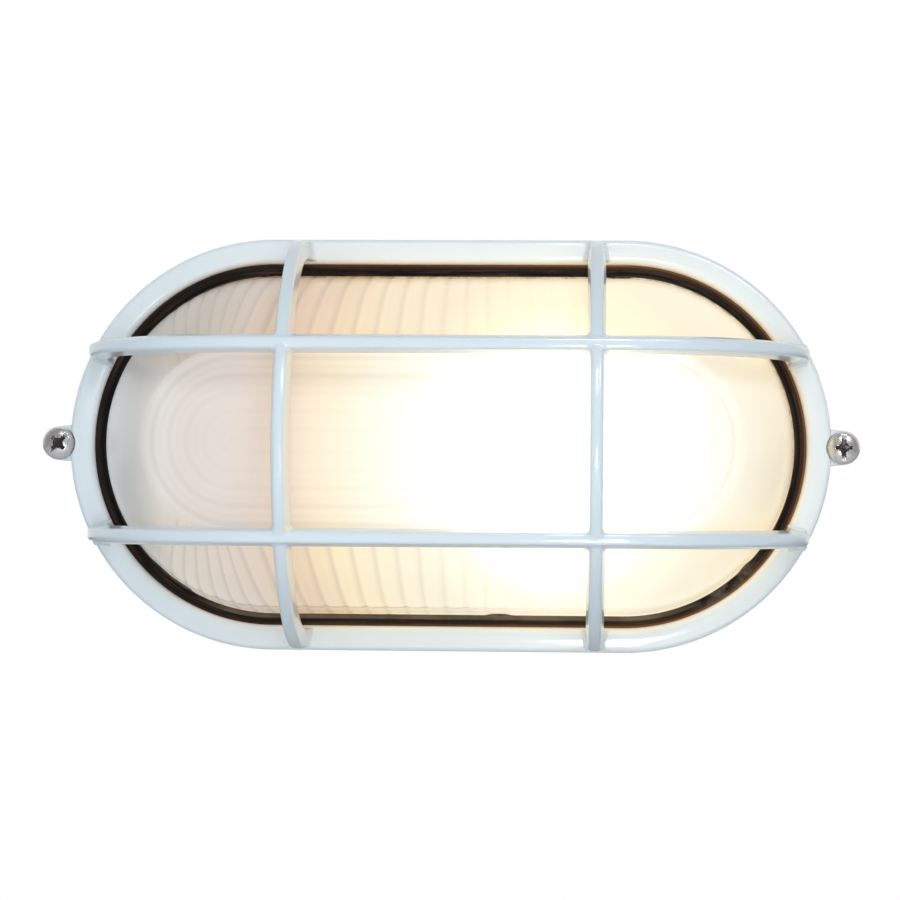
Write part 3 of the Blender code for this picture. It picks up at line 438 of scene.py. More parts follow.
def surfaceMaterial(name, constants, group, sockets, settings):
    material, tree, shader = newMaterial(name, constants)
    surface = placeGroup(tree, group, sockets)
    low, high = settings["roughness"]
    fill(shader, {"Base Color": surface["Color"], "Roughness": spread(surface["Roughness"], 0.0, 1.0, low, high)})
    addBump(shader, surface["Height"], settings["bump"], settings["bumpDepth"])
    return material


def coatMaterial(name, base, shade, settings):
    constants = {"IOR": 1.5, "Coat Weight": settings["coat"], "Coat Roughness": 0.07}
    return surfaceMaterial(name, constants, coatSurface, {
        "Ripple scale": settings["ripple"], "Grain scale": settings["grain"], "Grain share": settings["grainShare"],
        "Base": base, "Shade": shade, "Dust": settings["dust"]}, settings)


def metalMaterial(name, base, stain, settings):
    return surfaceMaterial(name, {"Metallic": settings.get("metallic", 1.0), "IOR": 2.5}, metalGrain, {
        "Scale": settings["grain"], "Base": base, "Stain": stain, "Stain share": settings["stain"]}, settings)


def paintOf(shader):
    link = shader.inputs["Base Color"].links[0]
    return Wire(link.from_node, link.from_socket.name)


coat = {
    "ripple": 210.0,
    "grain": 1900.0,
    "grainShare": 0.18,
    "dust": 0.35,
    "coat": 0.75,
    "roughness": (0.30, 0.42),
    "bump": 0.14,
    "bumpDepth": 0.00025,
}
guardCoat = coatMaterial("whiteCoat", (0.77, 0.855, 0.90), (0.70, 0.78, 0.83), coat)


def paintLampLight(material, centre):
    # Painted lamp light: the lamp's light is painted into the coat's colour on the rim beside it, on the slope down
    # to the rubber and on the bars' sides that face it; painted shade keeps the bars' fronts a little darker
    tree = material.node_tree
    shader = tree.nodes["Principled BSDF"]
    reach = placeGroup(tree, ovalReach)
    towards = vectorOf("SUBTRACT", tuple(centre), placeIn(tree))
    away = vectorOf("LENGTH", towards)
    normal = addNode(tree, "ShaderNodeNewGeometry", output="Normal")
    facing = vectorOf("DOT_PRODUCT", vectorOf("NORMALIZE", towards), normal)
    onBars = spread(reach["Out"], 45.4, 49.0)
    slope = spread(reach["Reach"], 49.2, 48.2) * spread(reach["Out"], 45.2, 44.8)
    slopeLit = slope * spread(reach["Along"], -90.0, 40.0, 0.2, 0.85)
    rimLit = (1.0 - onBars) * spread(away, 0.055, 0.12, 0.75, 0.0)
    sideLit = spread(facing, 0.2, 0.7) * onBars * spread(away, 0.07, 0.13, 0.95, 0.1)
    # Painted shade darkens the bars' fronts, and painted lamp light lightens the rim beside the lamp
    fronts = blend(onBars * 0.75, paintOf(shader), (0.67, 0.775, 0.85))
    beside = blend(rimLit, fronts, (0.88, 0.93, 0.92))
    # Painted lamp light: the cream colour laid on the slope and on the bars' sides that face the lamp
    paintedLampLight = blend(spread(away, 0.042, 0.07), (0.68, 0.64, 0.57), (1.0, 0.92, 0.79))
    fill(shader, {"Base Color": blend(mathOf("MAXIMUM", slopeLit, sideLit), beside, paintedLampLight)})


paintLampLight(guardCoat, atWall(26, 0, 79))
housingCoat = coatMaterial("whiteCoatHousing", (0.74, 0.80, 0.83), (0.60, 0.67, 0.71), {
    **coat, "bump": 0.3, "dust": 0.5})
print("stage 2: shared effects and coats ready")


# Guard: rim and ears as one body, four bars grown by nodes, then one casting

guard = {
    "rimArc": 128,
    "rimSide": 56,
    "edge": 1.4,
    "crown": 0.1,
    "earFace": 42.6,
    "screwX": 103.5,
    "earRadius": 4.5,
    "earRoot": 9.9,
    "earEdge": 0.5,
    "headRelief": 4.6,
    "holeRadius": 2.3,
    "barX": 38.7,
    "barUp": 23.9,
    "cageRadius": 53.5,
    "cageRise": 53.7,
    "cageSpring": 47.5,
    "footLevel": 43.6,
    "levelShare": 0.896,
    "voxel": 0.45,
    "fillets": 4,
    "evening": 7,
    "crease": 40,
}
barShape = {
    "Outer width": 2.9 * mm,
    "Inner width": 5.1 * mm,
    "Depth": 5.2 * mm,
    "Edge": 0.7 * mm,
    "Flare": 0.7 * mm,
    "Flare height": 6.0 * mm,
    "Fillet": 0.9 * mm,
    "Rim face": outline["rimFace"] * mm,
    "Spring": guard["cageSpring"] * mm,
    "Foot": guard["footLevel"] * mm,
    "Steps": 400,
}


def rimSection(settings):
    # Rounded outer edge, slightly crowned face, slope down to the rubber, then the back
    face, back, lip, edge = outline["rimFace"], outline["rimBack"], outline["lipBack"], settings["edge"]
    crown = [(edge + 3.6 * step / 8, face + settings["crown"] * math.sin(math.pi * step / 8)) for step in range(1, 8)]
    inner = [(5.0, face), (5.65, face - 0.22), (6.15, face - 0.7), (6.5, face - 1.35)]
    rounded = arcOf((edge, face - edge), edge, 180, 90, 8)
    return rounded + crown + inner + [(6.5, lip), (2.5, lip), (2.5, back), (0, back)]


def earPlaces(side, settings, grow=0.0):
    rootX = outline["straight"] + outline["radius"] - 1.25
    half = settings["earRoot"] / 2 + grow
    tip = arcOf((settings["screwX"], 0), settings["earRadius"] + grow, -90, 90, 24)
    return [(side * x, up) for x, up in [(rootX, -half)] + tip + [(rootX, half)]]


def buildBarTree(values):
    tree, given, end = geometryTree("castBar", values)
    line = addNode(tree, "GeometryNodeCurvePrimitiveLine", {"Start": (0, 0, 0), "End": (1, 0, 0)})
    path = addNode(tree, "GeometryNodeResampleCurve", {"Curve": line, "Count": given["Steps"]})
    share = addNode(tree, "GeometryNodeSplineParameter", output="Factor")
    # Each half of the bar: a foot out of the rim, a quarter turn, then straight
    legs, turns = [], []
    for way, first, last in ((share, 0.0, math.pi / 2), (1.0 - share, math.pi / 2, 0.0)):
        legs.append(spread(way, 0.0, given["Foot share"], 1.0, 0.0))
        turns.append(spread(way, given["Foot share"], given["Turn share"], first, last))
    angle = turns[0] + turns[1]
    sunk = (legs[0] + legs[1]) * (given["Spring"] - given["Foot"])
    level = mathOf("SINE", angle) * given["Rise"] + given["Spring"] - sunk
    run = spread(share, given["Turn share"], 1.0001 - given["Turn share"], 1.0, -1.0)
    along = run * given["Straight"] + mathOf("COSINE", angle) * given["Radius"]
    bent = addNode(tree, "GeometryNodeSetPosition", {"Geometry": path, "Position": joined(along, level)})
    upright = addNode(tree, "GeometryNodeSetCurveNormal", {"Curve": bent}, mode="Z_UP")
    profile = addNode(tree, "GeometryNodeCurvePrimitiveQuadrilateral", {
        "Bottom Width": given["Inner width"], "Top Width": given["Outer width"], "Offset": 0.0,
        "Height": given["Depth"]}, mode="TRAPEZOID")
    rounded = addNode(tree, "GeometryNodeFilletCurve", {
        "Curve": profile, "Radius": given["Edge"], "Limit Radius": True, "Count": 6}, mode="POLY")
    dropped = addNode(tree, "GeometryNodeTransform", {
        "Geometry": rounded, "Translation": joined(given["Depth"] * -0.5), "Rotation": (0, 0, -math.pi / 2)})
    bar = addNode(tree, "GeometryNodeCurveToMesh", {"Curve": upright, "Profile Curve": dropped, "Fill Caps": True})
    # The foot spreads sideways where it meets the rim
    parts = split(addNode(tree, "GeometryNodeInputPosition"))
    above = parts["Y"] - given["Rim face"]
    near = spread(above, 0.0, given["Flare height"], 1.0, 0.0)
    low = spread(above, 0.0, given["Fillet"], 1.0, 0.0)
    corner = (1.0 - mathOf("SQRT", 1.0 - low ** 2.0)) * given["Fillet"]
    half = given["Outer width"] * 0.5
    side = spread(parts["Z"], half * -1.0, half, -1.0, 1.0)
    across = side * (near ** 2.0 * given["Flare"] + corner) + parts["Z"]
    outwards = parts["Y"] * -1.0
    chosen = addNode(tree, "GeometryNodeSwitch", {
        "Switch": given["Level bar"], "False": joined(across + given["Across"], outwards, parts["X"]),
        "True": joined(parts["X"], outwards, given["Across"] - across)}, input_type="VECTOR")
    placed = addNode(tree, "GeometryNodeSetPosition", {"Geometry": bar, "Position": chosen})
    both = addNode(tree, "GeometryNodeJoinGeometry", {"Geometry": given["Geometry"]})
    fill(both.node, {"Geometry": placed})
    return closeTree(given, end, both)


def makeRim(settings):
    rim = linkMesh("guardCasting", sweptRing(rimSection(settings), settings["rimArc"], settings["rimSide"]))
    tools = []
    for side in (-1, 1):
        ear = linkMesh("earTool", prismWork(earPlaces(side, settings), outline["rimBack"], settings["earFace"]))
        bevel(ear, settings["earEdge"], 4, 60)
        boolean(rim, settle(ear), "UNION")
        tools.append(ear)
        for radius, low, high in ((settings["headRelief"], settings["earFace"], 48),
                                  (settings["holeRadius"], 36, 44)):
            hole = turnedWork([(0, low), (radius, low), (radius, high), (0, high)], 64)
            tools.append(linkMesh("holeTool", moved(hole, atWall(side * settings["screwX"], 0, 0))))
            boolean(rim, tools[-1])
    settle(rim)
    dropObjects(tools)
    return rim


def makeCage(settings, shape):
    # Four crossing bars, then one skin with small fillets where they meet
    cage = linkMesh("cageTool", bmesh.new())
    bars = []
    foot = settings["cageSpring"] - settings["footLevel"]
    for level, straight, share, across in ((False, 0.0, 1.0, settings["barX"]),
                                           (True, outline["straight"], settings["levelShare"], settings["barUp"])):
        radius, rise = settings["cageRadius"] * share, settings["cageRise"] * share
        curved = foot + math.pi / 2 * radius
        whole = 2 * (curved + straight)
        for side in (-1, 1):
            bars.append({
                **shape, "Straight": straight * mm, "Radius": radius * mm, "Rise": rise * mm,
                "Foot share": foot / whole, "Turn share": curved / whole, "Across": side * across * mm,
                "Level bar": level})
    tree = buildBarTree(bars[0])
    for values in bars:
        growWith(cage, tree, values)
    skin = cage.modifiers.new("oneSkin", "REMESH")
    skin.mode = "VOXEL"
    skin.voxel_size = settings["voxel"] * mm
    # Plain rounds ease the edges, and each pair after them evens the skin without shrinking it
    for factor, rounds in [(0.5, settings["fillets"])] + [(0.5, 1), (-0.52, 1)] * settings["evening"]:
        soften = cage.modifiers.new("castEdges", "SMOOTH")
        soften.factor = factor
        soften.iterations = rounds
    return settle(cage)


def makeGuard(settings, shape, material):
    rim = makeRim(settings)
    cage = makeCage(settings, shape)
    boolean(rim, cage, "UNION")
    settle(rim, settings["crease"])
    dropObjects([cage])
    dress(rim, material, ["guard"])


makeGuard(guard, barShape, guardCoat)
print("stage 3: guard cast")


# Gasket: a rubber channel that shows as a black ring

gasket = {
    "arc": 150,
    "side": 110,
    "inset": 2.8,
    "inner": 9.5,
    "slot": 4.6,
    "back": 35.5,
    "face": 42.7,
    "lowerLip": 3.4,
    "slotBack": 37.3,
    "slotFace": 40.9,
    "edge": 0.4,
    "bead": 0.7,
    "crease": 50,
}
rubberRelief = {
    "Wave height": 0.12 * mm,
    "Wave scale": 55.0,
    "Wrinkle height": 0.5 * mm,
    "Wrinkle scale": 330.0,
    "Wrinkle centre": (0.0742, -0.0427, -0.037),
    "Wrinkle reach": 0.016,
    "Nib height": 0.5 * mm,
    "Nib scale": 85.0,
}


def gasketSection(settings):
    inset, face, back, slot = (settings[key] for key in ("inset", "face", "back", "slot"))
    edge, bead = inset + settings["edge"], settings["inner"] - settings["bead"]
    slotFace, slotBack, lipEnd = settings["slotFace"], settings["slotBack"], slot + settings["lowerLip"]
    outer = [(inset, back), (inset, (back + face) / 2), (inset, face - settings["edge"]), (edge, face)]
    flat = [(edge + (bead - edge) * step / 12, face) for step in range(1, 12)]
    rounded = arcOf((bead, face - settings["bead"]), settings["bead"], 90, 0, 6)
    return outer + flat + rounded + [
        (settings["inner"], slotFace), (slot, slotFace), (slot, slotBack), (lipEnd, slotBack), (lipEnd, back)]


def buildRubberTree(relief):
    # Slow waves all round, small nibs, and wrinkles near one place where the rubber is folded
    tree, given, end = geometryTree("rubberRelief", relief)
    place = addNode(tree, "GeometryNodeInputPosition")
    wave = (noiseOf(place, given["Wave scale"], 2.0) - 0.62) * given["Wave height"]
    near = spread(vectorOf("DISTANCE", place, given["Wrinkle centre"]), 0.0, given["Wrinkle reach"], 1.0, 0.0)
    fold = abs(noiseOf(place, given["Wrinkle scale"], 2.0) - 0.5) * -3.0 * near * given["Wrinkle height"]
    nibs = spread(noiseOf(place, given["Nib scale"], 1.0), 0.62, 0.70) * given["Nib height"]
    front = spread(split(place)["Y"] * -1.0, 0.0412, 0.0422)
    return pushOut(given, end, (wave + fold + nibs) * front)


def rubberMaterial(relief):
    material, tree, shader = newMaterial("blackRubber", {"IOR": 1.2})
    oval = placeGroup(tree, ovalReach)
    reach, along = oval["Reach"], oval["Along"]
    place = placeIn(tree)
    cloud = noiseOf(place, 60.0, 5.0, 0.6)
    # Streaks follow the ring: fine across it and slow along it
    streak = noiseOf(joined(reach * 1.6, along * 0.05), 1.0, 4.0, 0.6)
    brown = spread(streak, 0.46, 0.62) * spread(cloud, 0.35, 0.6)
    # Painted lamp light: light leaks brown along the rim's side where the lamp is bright, painted into the rubber's
    # colour
    lit = spread(along, -60.0, 60.0, 0.12, 1.0)
    # Dust settles along the lip of the lower run and beside the glass, and the folds catch light, painted as a
    # highlight
    lip = spread(reach, 44.5, 44.8) * spread(reach, 46.1, 45.6)
    settled = lip * spread(split(place)["Z"], -0.040, -0.045) * spread(cloud, 0.3, 0.6, 0.4, 1.0)
    # Painted highlight on the folds near the wrinkle
    folded = vectorOf("DISTANCE", place, relief["Wrinkle centre"])
    near = spread(folded, 0.002, relief["Wrinkle reach"] * 0.8, 1.0, 0.0)
    paintedFoldHighlight = near * spread(noiseOf(place, 300.0, 2.0, 0.6), 0.42, 0.68)
    speckle = noiseOf(place, 700.0, 4.0, 0.65)
    dusty = spread(reach + speckle * 0.7, 45.4, 44.8) * spread(speckle, 0.4, 0.62)
    paint = (0.004, 0.004, 0.004)
    for share, color in ((brown, (0.060, 0.034, 0.019)), (spread(reach, 45.9, 47.2) * lit, (0.055, 0.026, 0.012)),
                         (spread(reach, 47.05, 47.4) * lit, (0.22, 0.095, 0.038)), (settled, (0.16, 0.125, 0.085)),
                         (paintedFoldHighlight, (0.15, 0.12, 0.095)), (dusty, (0.17, 0.155, 0.13))):
        paint = blend(share, paint, color)
    fill(shader, {"Base Color": paint, "Roughness": spread(streak, 0.3, 0.7, 0.36, 0.6)})
    addBump(shader, streak, 0.3, 0.0003)
    return material


def makeGasket(settings, relief, material):
    ring = linkMesh("gasketChannel", sweptRing(gasketSection(settings), settings["arc"], settings["side"]))
    growWith(ring, buildRubberTree(relief), {**relief, "Material": material})
    dress(settle(ring, settings["crease"]), material, ["glass_gasket"])


makeGasket(gasket, rubberRelief, rubberMaterial(rubberRelief))
print("stage 4: gasket shaped")


# Glass: a smooth shell by rule, then flutes and rings pressed in by nodes

glass = {
    "arc": 290,
    "side": 200,
    "wallSteps": 42,
    "panelSteps": 30,
    "flange": 49.3,
    "back": 37.6,
    "face": 40.6,
    "radius": 44.1,
    "rise": 38.5,
    "wall": 3.2,
    "panelRadius": 23.9,
    "panelStraight": 52.0,
    "panelCrown": 4.5,
    "flutesAlong": 18,
    "flutesRound": 7,
    "fluteAngle": 6.0,
}
pressedRelief = {
    "Flute depth": 0.36 * mm,
    "Flute sharpness": 8.0,
    "Ring relief": 0.16 * mm,
    "Ring pitch": 4.5,
    "Ring start": 2.9,
    "Ring sharpness": 2.0,
}
pressedLayers = ("flutePhase", "fluteMask", "panelReach")


def wallPlace(settings, share):
    # (half straight, radius, rise) at a share of the way up the side wall
    last = math.acos(settings["panelRadius"] / settings["radius"])
    narrowing = (1 - math.cos(last * share)) / (1 - math.cos(last))
    straight = outline["straight"] + (settings["panelStraight"] - outline["straight"]) * narrowing
    radius = settings["radius"] - (settings["radius"] - settings["panelRadius"]) * narrowing
    return straight, radius, settings["rise"] * math.sin(last * share) / math.sin(last)


def glassStations(settings):
    # Rings as (half straight, radius, out of the wall, share up the wall, reach on the panel),
    # from the inside of the front panel down to the flange and up the outside
    straight, across = outline["straight"], settings["panelStraight"]
    back, face, wall, panelRadius = (settings[key] for key in ("back", "face", "wall", "panelRadius"))
    top = face + settings["rise"] + settings["panelCrown"]
    rings = [(across, panelRadius * share, top - settings["panelCrown"] * share ** 2 - wall, 0, 0)
             for share in (0.015, 0.35, 0.7)]
    for share in (1.0, 0.8, 0.6, 0.4, 0.2, 0.0):
        halfStraight, radius, rise = wallPlace(settings, share)
        thinned = radius - wall * (1 - 0.3 * share)
        rings.append((halfStraight, thinned, face + rise * (1 - wall / settings["rise"]), 0, 0))
    for radius, out in ((settings["radius"] - wall, back), (settings["flange"], back), (settings["flange"], face),
                        (settings["radius"] + 0.35, face)):
        rings.append((straight, radius, out, 0, 0))
    for step in range(settings["wallSteps"] + 1):
        share = step / settings["wallSteps"]
        halfStraight, radius, rise = wallPlace(settings, share)
        rings.append((halfStraight, radius, face + rise, share, panelRadius if share == 1 else 0))
    for step in range(1, settings["panelSteps"] + 1):
        share = 1 - step / settings["panelSteps"] * 0.985
        rings.append((across, panelRadius * share, top - settings["panelCrown"] * share ** 2, 1, panelRadius * share))
    return rings


def closeAlongMiddle(work, ring, quarterTurn):
    # Faces between the upper and lower halves of the last ring
    half = len(ring) // 2
    upper, lower = ([ring[(quarterTurn + way * step) % len(ring)] for step in range(half + 1)] for way in (1, -1))
    for step in range(half):
        work.faces.new(list(dict.fromkeys([upper[step], upper[step + 1], lower[step + 1], lower[step]])))


def glassShell(settings):
    arcSteps, sideSteps = settings["arc"], settings["side"]
    work = bmesh.new()
    phase, fluted, reach = (work.verts.layers.float.new(name) for name in pressedLayers)
    flutesPerArc = 180 / settings["fluteAngle"]
    loops = []
    for straight, radius, out, share, panelReach in glassStations(settings):
        fade = min(1.0, share / 0.35, (1 - share) / 0.12)
        loop = []
        for index, (x, up) in enumerate(ovalPlaces(straight, radius, arcSteps, sideSteps)):
            part = index % (arcSteps + sideSteps)
            if part < arcSteps:
                turn = part / arcSteps * flutesPerArc
                mask = (settings["flutesRound"] - min(turn, flutesPerArc - turn)) * 1.5
            else:
                turn = (part - arcSteps) / sideSteps * settings["flutesAlong"]
                mask = 1.0
            rightwards = min(1.0, max(0.0, x / 40))
            vert = work.verts.new(atWall(x, up, out))
            vert[phase] = turn
            vert[fluted] = max(0.0, min(1.0, mask)) * (1 - 0.8 * rightwards) * fade
            vert[reach] = panelReach
            loop.append(vert)
        loops.append(loop)
    stitch(work, loops)
    for ring in (loops[0], loops[-1]):
        closeAlongMiddle(work, ring, arcSteps // 2)
    return facedOut(work)


def buildReliefTree(relief):
    tree, given, end = geometryTree("pressedRelief", relief)
    phase, mask, reach = (
        addNode(tree, "GeometryNodeInputNamedAttribute", {"Name": name}, "Attribute", data_type="FLOAT")
        for name in pressedLayers)
    flutes = groove(phase, given["Flute sharpness"]) * mask * given["Flute depth"]
    count = (reach - given["Ring start"]) / given["Ring pitch"]
    onPanel = mathOf("GREATER_THAN", reach, 0.4) * spread(reach, 6.0, 22.0, 0.12, 1.0)
    rings = groove(count, given["Ring sharpness"]) * onPanel * given["Ring relief"]
    return pushOut(given, end, (flutes + rings) * -1.0)


# Painted lamp light: the glass's glow is emission painted on it by distance from the lamp's bright middle
glow = {
    "centre": (29.0, -3.0),    # x and up of the lamp's bright middle
    "stretch": (1.0, 0.8),
    "strength": 2.2,
    "reach": 130.0,
    "stops": [                 # (distance in millimetres, emission colour)
        (0, (1.00, 0.92, 0.75)),
        (20, (0.80, 0.74, 0.60)),
        (31, (0.42, 0.39, 0.33)),
        (40, (0.325, 0.300, 0.250)),
        (48, (0.295, 0.268, 0.205)),
        (57, (0.275, 0.230, 0.150)),
        (63, (0.245, 0.190, 0.122)),
        (69, (0.205, 0.150, 0.100)),
        (83, (0.173, 0.143, 0.130)),
        (100, (0.160, 0.148, 0.137)),
        (104, (0.120, 0.112, 0.104)),
        (107, (0.094, 0.090, 0.085)),
        (110, (0.092, 0.090, 0.088)),
        (114, (0.105, 0.105, 0.105)),
    ],
    "ripple": 0.036,           # how much the rings show in the glow
    "flutes": 0.24,            # and the flutes
}


def fluteLines(wall, up):
    # 1 along each flute of the side wall, found again from the wall's own rule
    last = math.acos(glass["panelRadius"] / glass["radius"])
    top = glass["face"] + glass["rise"]
    rise = spread(wall["Out"], glass["face"], top, 0.0, math.sin(last))
    widening = (glass["panelStraight"] - outline["straight"]) / (1 - math.cos(last))
    half = (1.0 - mathOf("SQRT", 1.0 - rise ** 2.0)) * widening + outline["straight"]
    beside = abs(wall["Along"])
    beyond = mathOf("MAXIMUM", beside - half, 0.0)
    straight = mathOf("MINIMUM", beside / half * (glass["flutesAlong"] / 2), glass["flutesAlong"] / 2)
    rounded = mathOf("ARCTAN2", beyond, abs(up)) * (180 / math.pi / glass["fluteAngle"])
    phase = straight + rounded * mathOf("GREATER_THAN", beyond, 0.0)
    # A bright edge lies beside each dark line
    line = groove(phase, 8.0) - groove(phase + 0.17, 12.0) * 0.4
    onWall = spread(wall["Out"], top + 0.2, top - 1.5)
    kept = spread(rounded, glass["flutesRound"] + 0.3, glass["flutesRound"] - 0.7) * onWall
    return line * spread(wall["Along"], -25.0, 30.0, 1.0, 0.0) * kept


def glassMaterial(settings, relief):
    material, tree, shader = newMaterial("pressedGlass", {
        "IOR": 1.5, "Roughness": 0.40, "Coat Weight": 0.15, "Coat Roughness": 0.12,
        "Emission Strength": settings["strength"]})
    place = placeIn(tree)
    wall = placeGroup(tree, ovalReach)
    panel = placeGroup(tree, ovalReach, {"Straight": glass["panelStraight"]})["Reach"]
    up = split(place)["Z"] * 1000.0
    right, high = (((value - centre) * stretch) ** 2.0 for value, centre, stretch in zip(
        (wall["Along"], up), settings["centre"], settings["stretch"]))
    # Painted lamp light: the glow is emission painted by distance from the lamp's bright middle
    distance = mathOf("SQRT", right + high)
    stops = [(reached / settings["reach"], color) for reached, color in settings["stops"]]
    light = colorRamp(distance / settings["reach"], stops)
    # Bright and dim lines where the rings and flutes bend the light
    onPanel = spread(panel, glass["panelRadius"] + 0.3, glass["panelRadius"] - 0.3)
    turns = (panel - relief["Ring start"]) / relief["Ring pitch"]
    slow, quick = (mathOf("COSINE", turns * (count * math.pi)) for count in (2, 4))
    wave = (quick * 1.1 + slow) * onPanel * spread(panel, 9.0, 21.0, 0.35, 1.5)
    rippled = (1.0 - wave * settings["ripple"]) * (1.0 - fluteLines(wall, up) * settings["flutes"])
    # A line of dirt runs along the lower foot just above the rubber, and grime lies against it
    grime = noiseOf(place, 500.0, 4.0, 0.65)
    line = spread(wall["Out"], 51.6, 52.6) * spread(wall["Out"], 53.9, 52.9) * spread(up, -8.0, -34.0)
    dirt = line * spread(wall["Along"], -20.0, 50.0, 1.0, 0.2) * spread(grime, 0.3, 0.6, 0.25, 0.7)
    contact = spread(wall["Reach"], glass["radius"] - 0.35, glass["radius"] - 0.1)
    against = contact * spread(grime, 0.38, 0.6, 0.2, 0.8)
    foot = mathOf("MAXIMUM", dirt, against * spread(up, -20.0, 5.0, 0.1, 1.0))
    # Painted light: the upper wall glows yellower, and less towards the unlit end, where painted shade dims it; the
    # lower wall is painted a little yellower, dimmer near the middle and brighter further out
    offPanel = 1.0 - onPanel
    above, below = offPanel * spread(up, 8.0, 26.0), offPanel * spread(up, -8.0, -26.0)
    far = blend(spread(wall["Along"], 15.0, 55.0), (1.0, 0.88, 0.73), (1.09, 1.07, 1.02))
    cast = blend(spread(distance, 30.0, 56.0), (0.88, 0.76, 0.54), far)
    yellow = blend(below, blend(above, light, cast, "MULTIPLY"), (1.0, 0.97, 0.86), "MULTIPLY")
    falling = 1.0 - above * spread(distance, 76.0, 96.0) * 0.40
    lifted = below * spread(distance, 30.0, 60.0, -0.08, 0.18) + 1.0
    dimmed = rippled * (1.0 - foot * 0.6) * falling * lifted
    # Painted light and shade: the base is cooler and lighter at the unlit end, and warmer and darker where the
    # painted glow carries the colour
    paintedUnlitEnd = spread(wall["Along"], -96.0, -60.0, smooth=True)
    paintedLitBase = blend(paintedUnlitEnd, (0.49, 0.505, 0.52), (0.41, 0.39, 0.36))
    fill(shader, {"Emission Color": vectorOf("SCALE", yellow, dimmed),
                  "Base Color": blend(foot, paintedLitBase, (0.24, 0.19, 0.14))})
    addBump(shader, noiseOf(place, 180.0), 0.12, 0.0003)
    return material


def makeGlass(settings, relief, material):
    shell = linkMesh("glassDome", glassShell(settings))
    growWith(shell, buildReliefTree(relief), {**relief, "Material": material})
    settle(shell)
    for layer in pressedLayers:
        shell.data.attributes.remove(shell.data.attributes[layer])
    dress(shell, material, ["glass_diffuser"])


makeGlass(glass, pressedRelief, glassMaterial(glow, pressedRelief))
print("stage 5: glass pressed")


# Cover screws: one head and stem, set at both ears by nodes

screw = {
    "headRadius": 4.35,
    "headHeight": 2.6,
    "stemRadius": 2.0,
    "length": 17.7,
    "recessSpan": 4.4,
    "recessWidth": 1.0,
    "recessCorner": 1.9,
    "recessDepth": 1.7,
    "slotWidth": 1.25,
    "slotDepth": 0.75,
    "steps": 72,
    "crease": 45,
}
screwPlaces = {
    "Spread": guard["screwX"] * mm,
    "Seat": 42.9 * mm,
    "Left turn": math.radians(-45),
    "Right turn": math.radians(-90),
}
screwFinish = {
    "metallic": 0.8,
    "grain": 700.0,
    "stain": 0.35,
    "roughness": (0.21, 0.42),
    "bump": 0.3,
    "bumpDepth": 0.0001,
}


def buildScrewTree(places):
    tree, given, end = geometryTree("coverScrews", places)
    index = addNode(tree, "GeometryNodeInputIndex")
    spot = joined((index * 2.0 - 1.0) * given["Spread"], given["Seat"] * -1.0)
    seats = addNode(tree, "GeometryNodePoints", {"Count": 2, "Position": spot})
    turn = index * (given["Right turn"] - given["Left turn"]) + given["Left turn"]
    placed = addNode(tree, "GeometryNodeInstanceOnPoints", {
        "Points": seats, "Instance": given["Geometry"], "Rotation": joined(y=turn)})
    return closeTree(given, end, placed)


def screwProfile(settings):
    # From the stem's point, over its thread, up to the crown of the pan head
    radius, height = settings["headRadius"], settings["headHeight"]
    stem, point = settings["stemRadius"], -settings["length"]
    points = [(0, point), (stem * 0.6, point), (stem, point + 1.0)]
    low = point + 1.6
    while low < -1.2:
        points += [(stem, low), (stem - 0.3, low + 0.35)]
        low += 0.7
    points += [(stem, -0.6), (stem, 0), (radius - 0.15, 0), (radius, 0.15)]
    skirt = height * 0.25
    for step in range(12):
        angle = math.pi / 2 * step / 12
        points.append((radius * math.cos(angle) ** 0.85, skirt + (height - skirt) * math.sin(angle)))
    return points + [(0, height)]


def rectangleOf(halfX, halfUp):
    return [(-halfX, -halfUp), (halfX, -halfUp), (halfX, halfUp), (-halfX, halfUp)]


def makeScrews(settings, seats, material):
    head = linkMesh("coverScrewPair", turnedWork(screwProfile(settings), settings["steps"]))
    top, deep = settings["headHeight"], settings["recessDepth"]
    span, width, corner = settings["recessSpan"] / 2, settings["recessWidth"] / 2, settings["recessCorner"]
    cuts = [(rectangleOf(span, width), deep), (rectangleOf(width, span), deep),
            ([(-corner, 0), (0, -corner), (corner, 0), (0, corner)], deep * 0.8),
            (rectangleOf(2 * settings["headRadius"], settings["slotWidth"] / 2), settings["slotDepth"])]
    tools = []
    for places, depth in cuts:
        tools.append(linkMesh("recessTool", prismWork(places, top - depth, top + 1)))
        boolean(head, tools[-1])
    settle(head)
    dropObjects(tools)
    bevel(head, 0.12, 2, 40)
    growWith(head, buildScrewTree(seats), {**seats, "Material": material})
    dress(settle(head, settings["crease"]), material, ["cover_screw_left", "cover_screw_right"])


def screwMaterial(settings, places, finish):
    material = metalMaterial("screwSteel", (0.74, 0.705, 0.71), (0.42, 0.385, 0.375), finish)
    tree = material.node_tree
    shader = tree.nodes["Principled BSDF"]
    parts = split(placeIn(tree))
    beside = abs(parts["X"]) - places["Spread"]
    # Painted shade makes the recess nearly black, and the flank that faces the lamp takes its colour as painted lamp
    # light
    middle = spread(vectorOf("LENGTH", joined(beside, parts["Z"])), 2.7 * mm, 2.6 * mm)
    top = places["Seat"] + settings["headHeight"] * mm
    dark = middle * spread(parts["Y"] + top, 0.55 * mm, 0.95 * mm)
    flank = spread(beside, -2.6 * mm, -4.0 * mm) * spread(parts["X"], 0.0, 0.05)
    lit = blend(flank, paintOf(shader), (1.0, 0.93, 0.82))
    fill(shader, {"Base Color": blend(dark, lit, (0.06, 0.052, 0.048))})
    return material


makeScrews(screw, screwPlaces, screwMaterial(screw, screwPlaces, screwFinish))
print("stage 6: cover screws set")


# Housing: an oval shell with its ears, pillars, entries and bosses

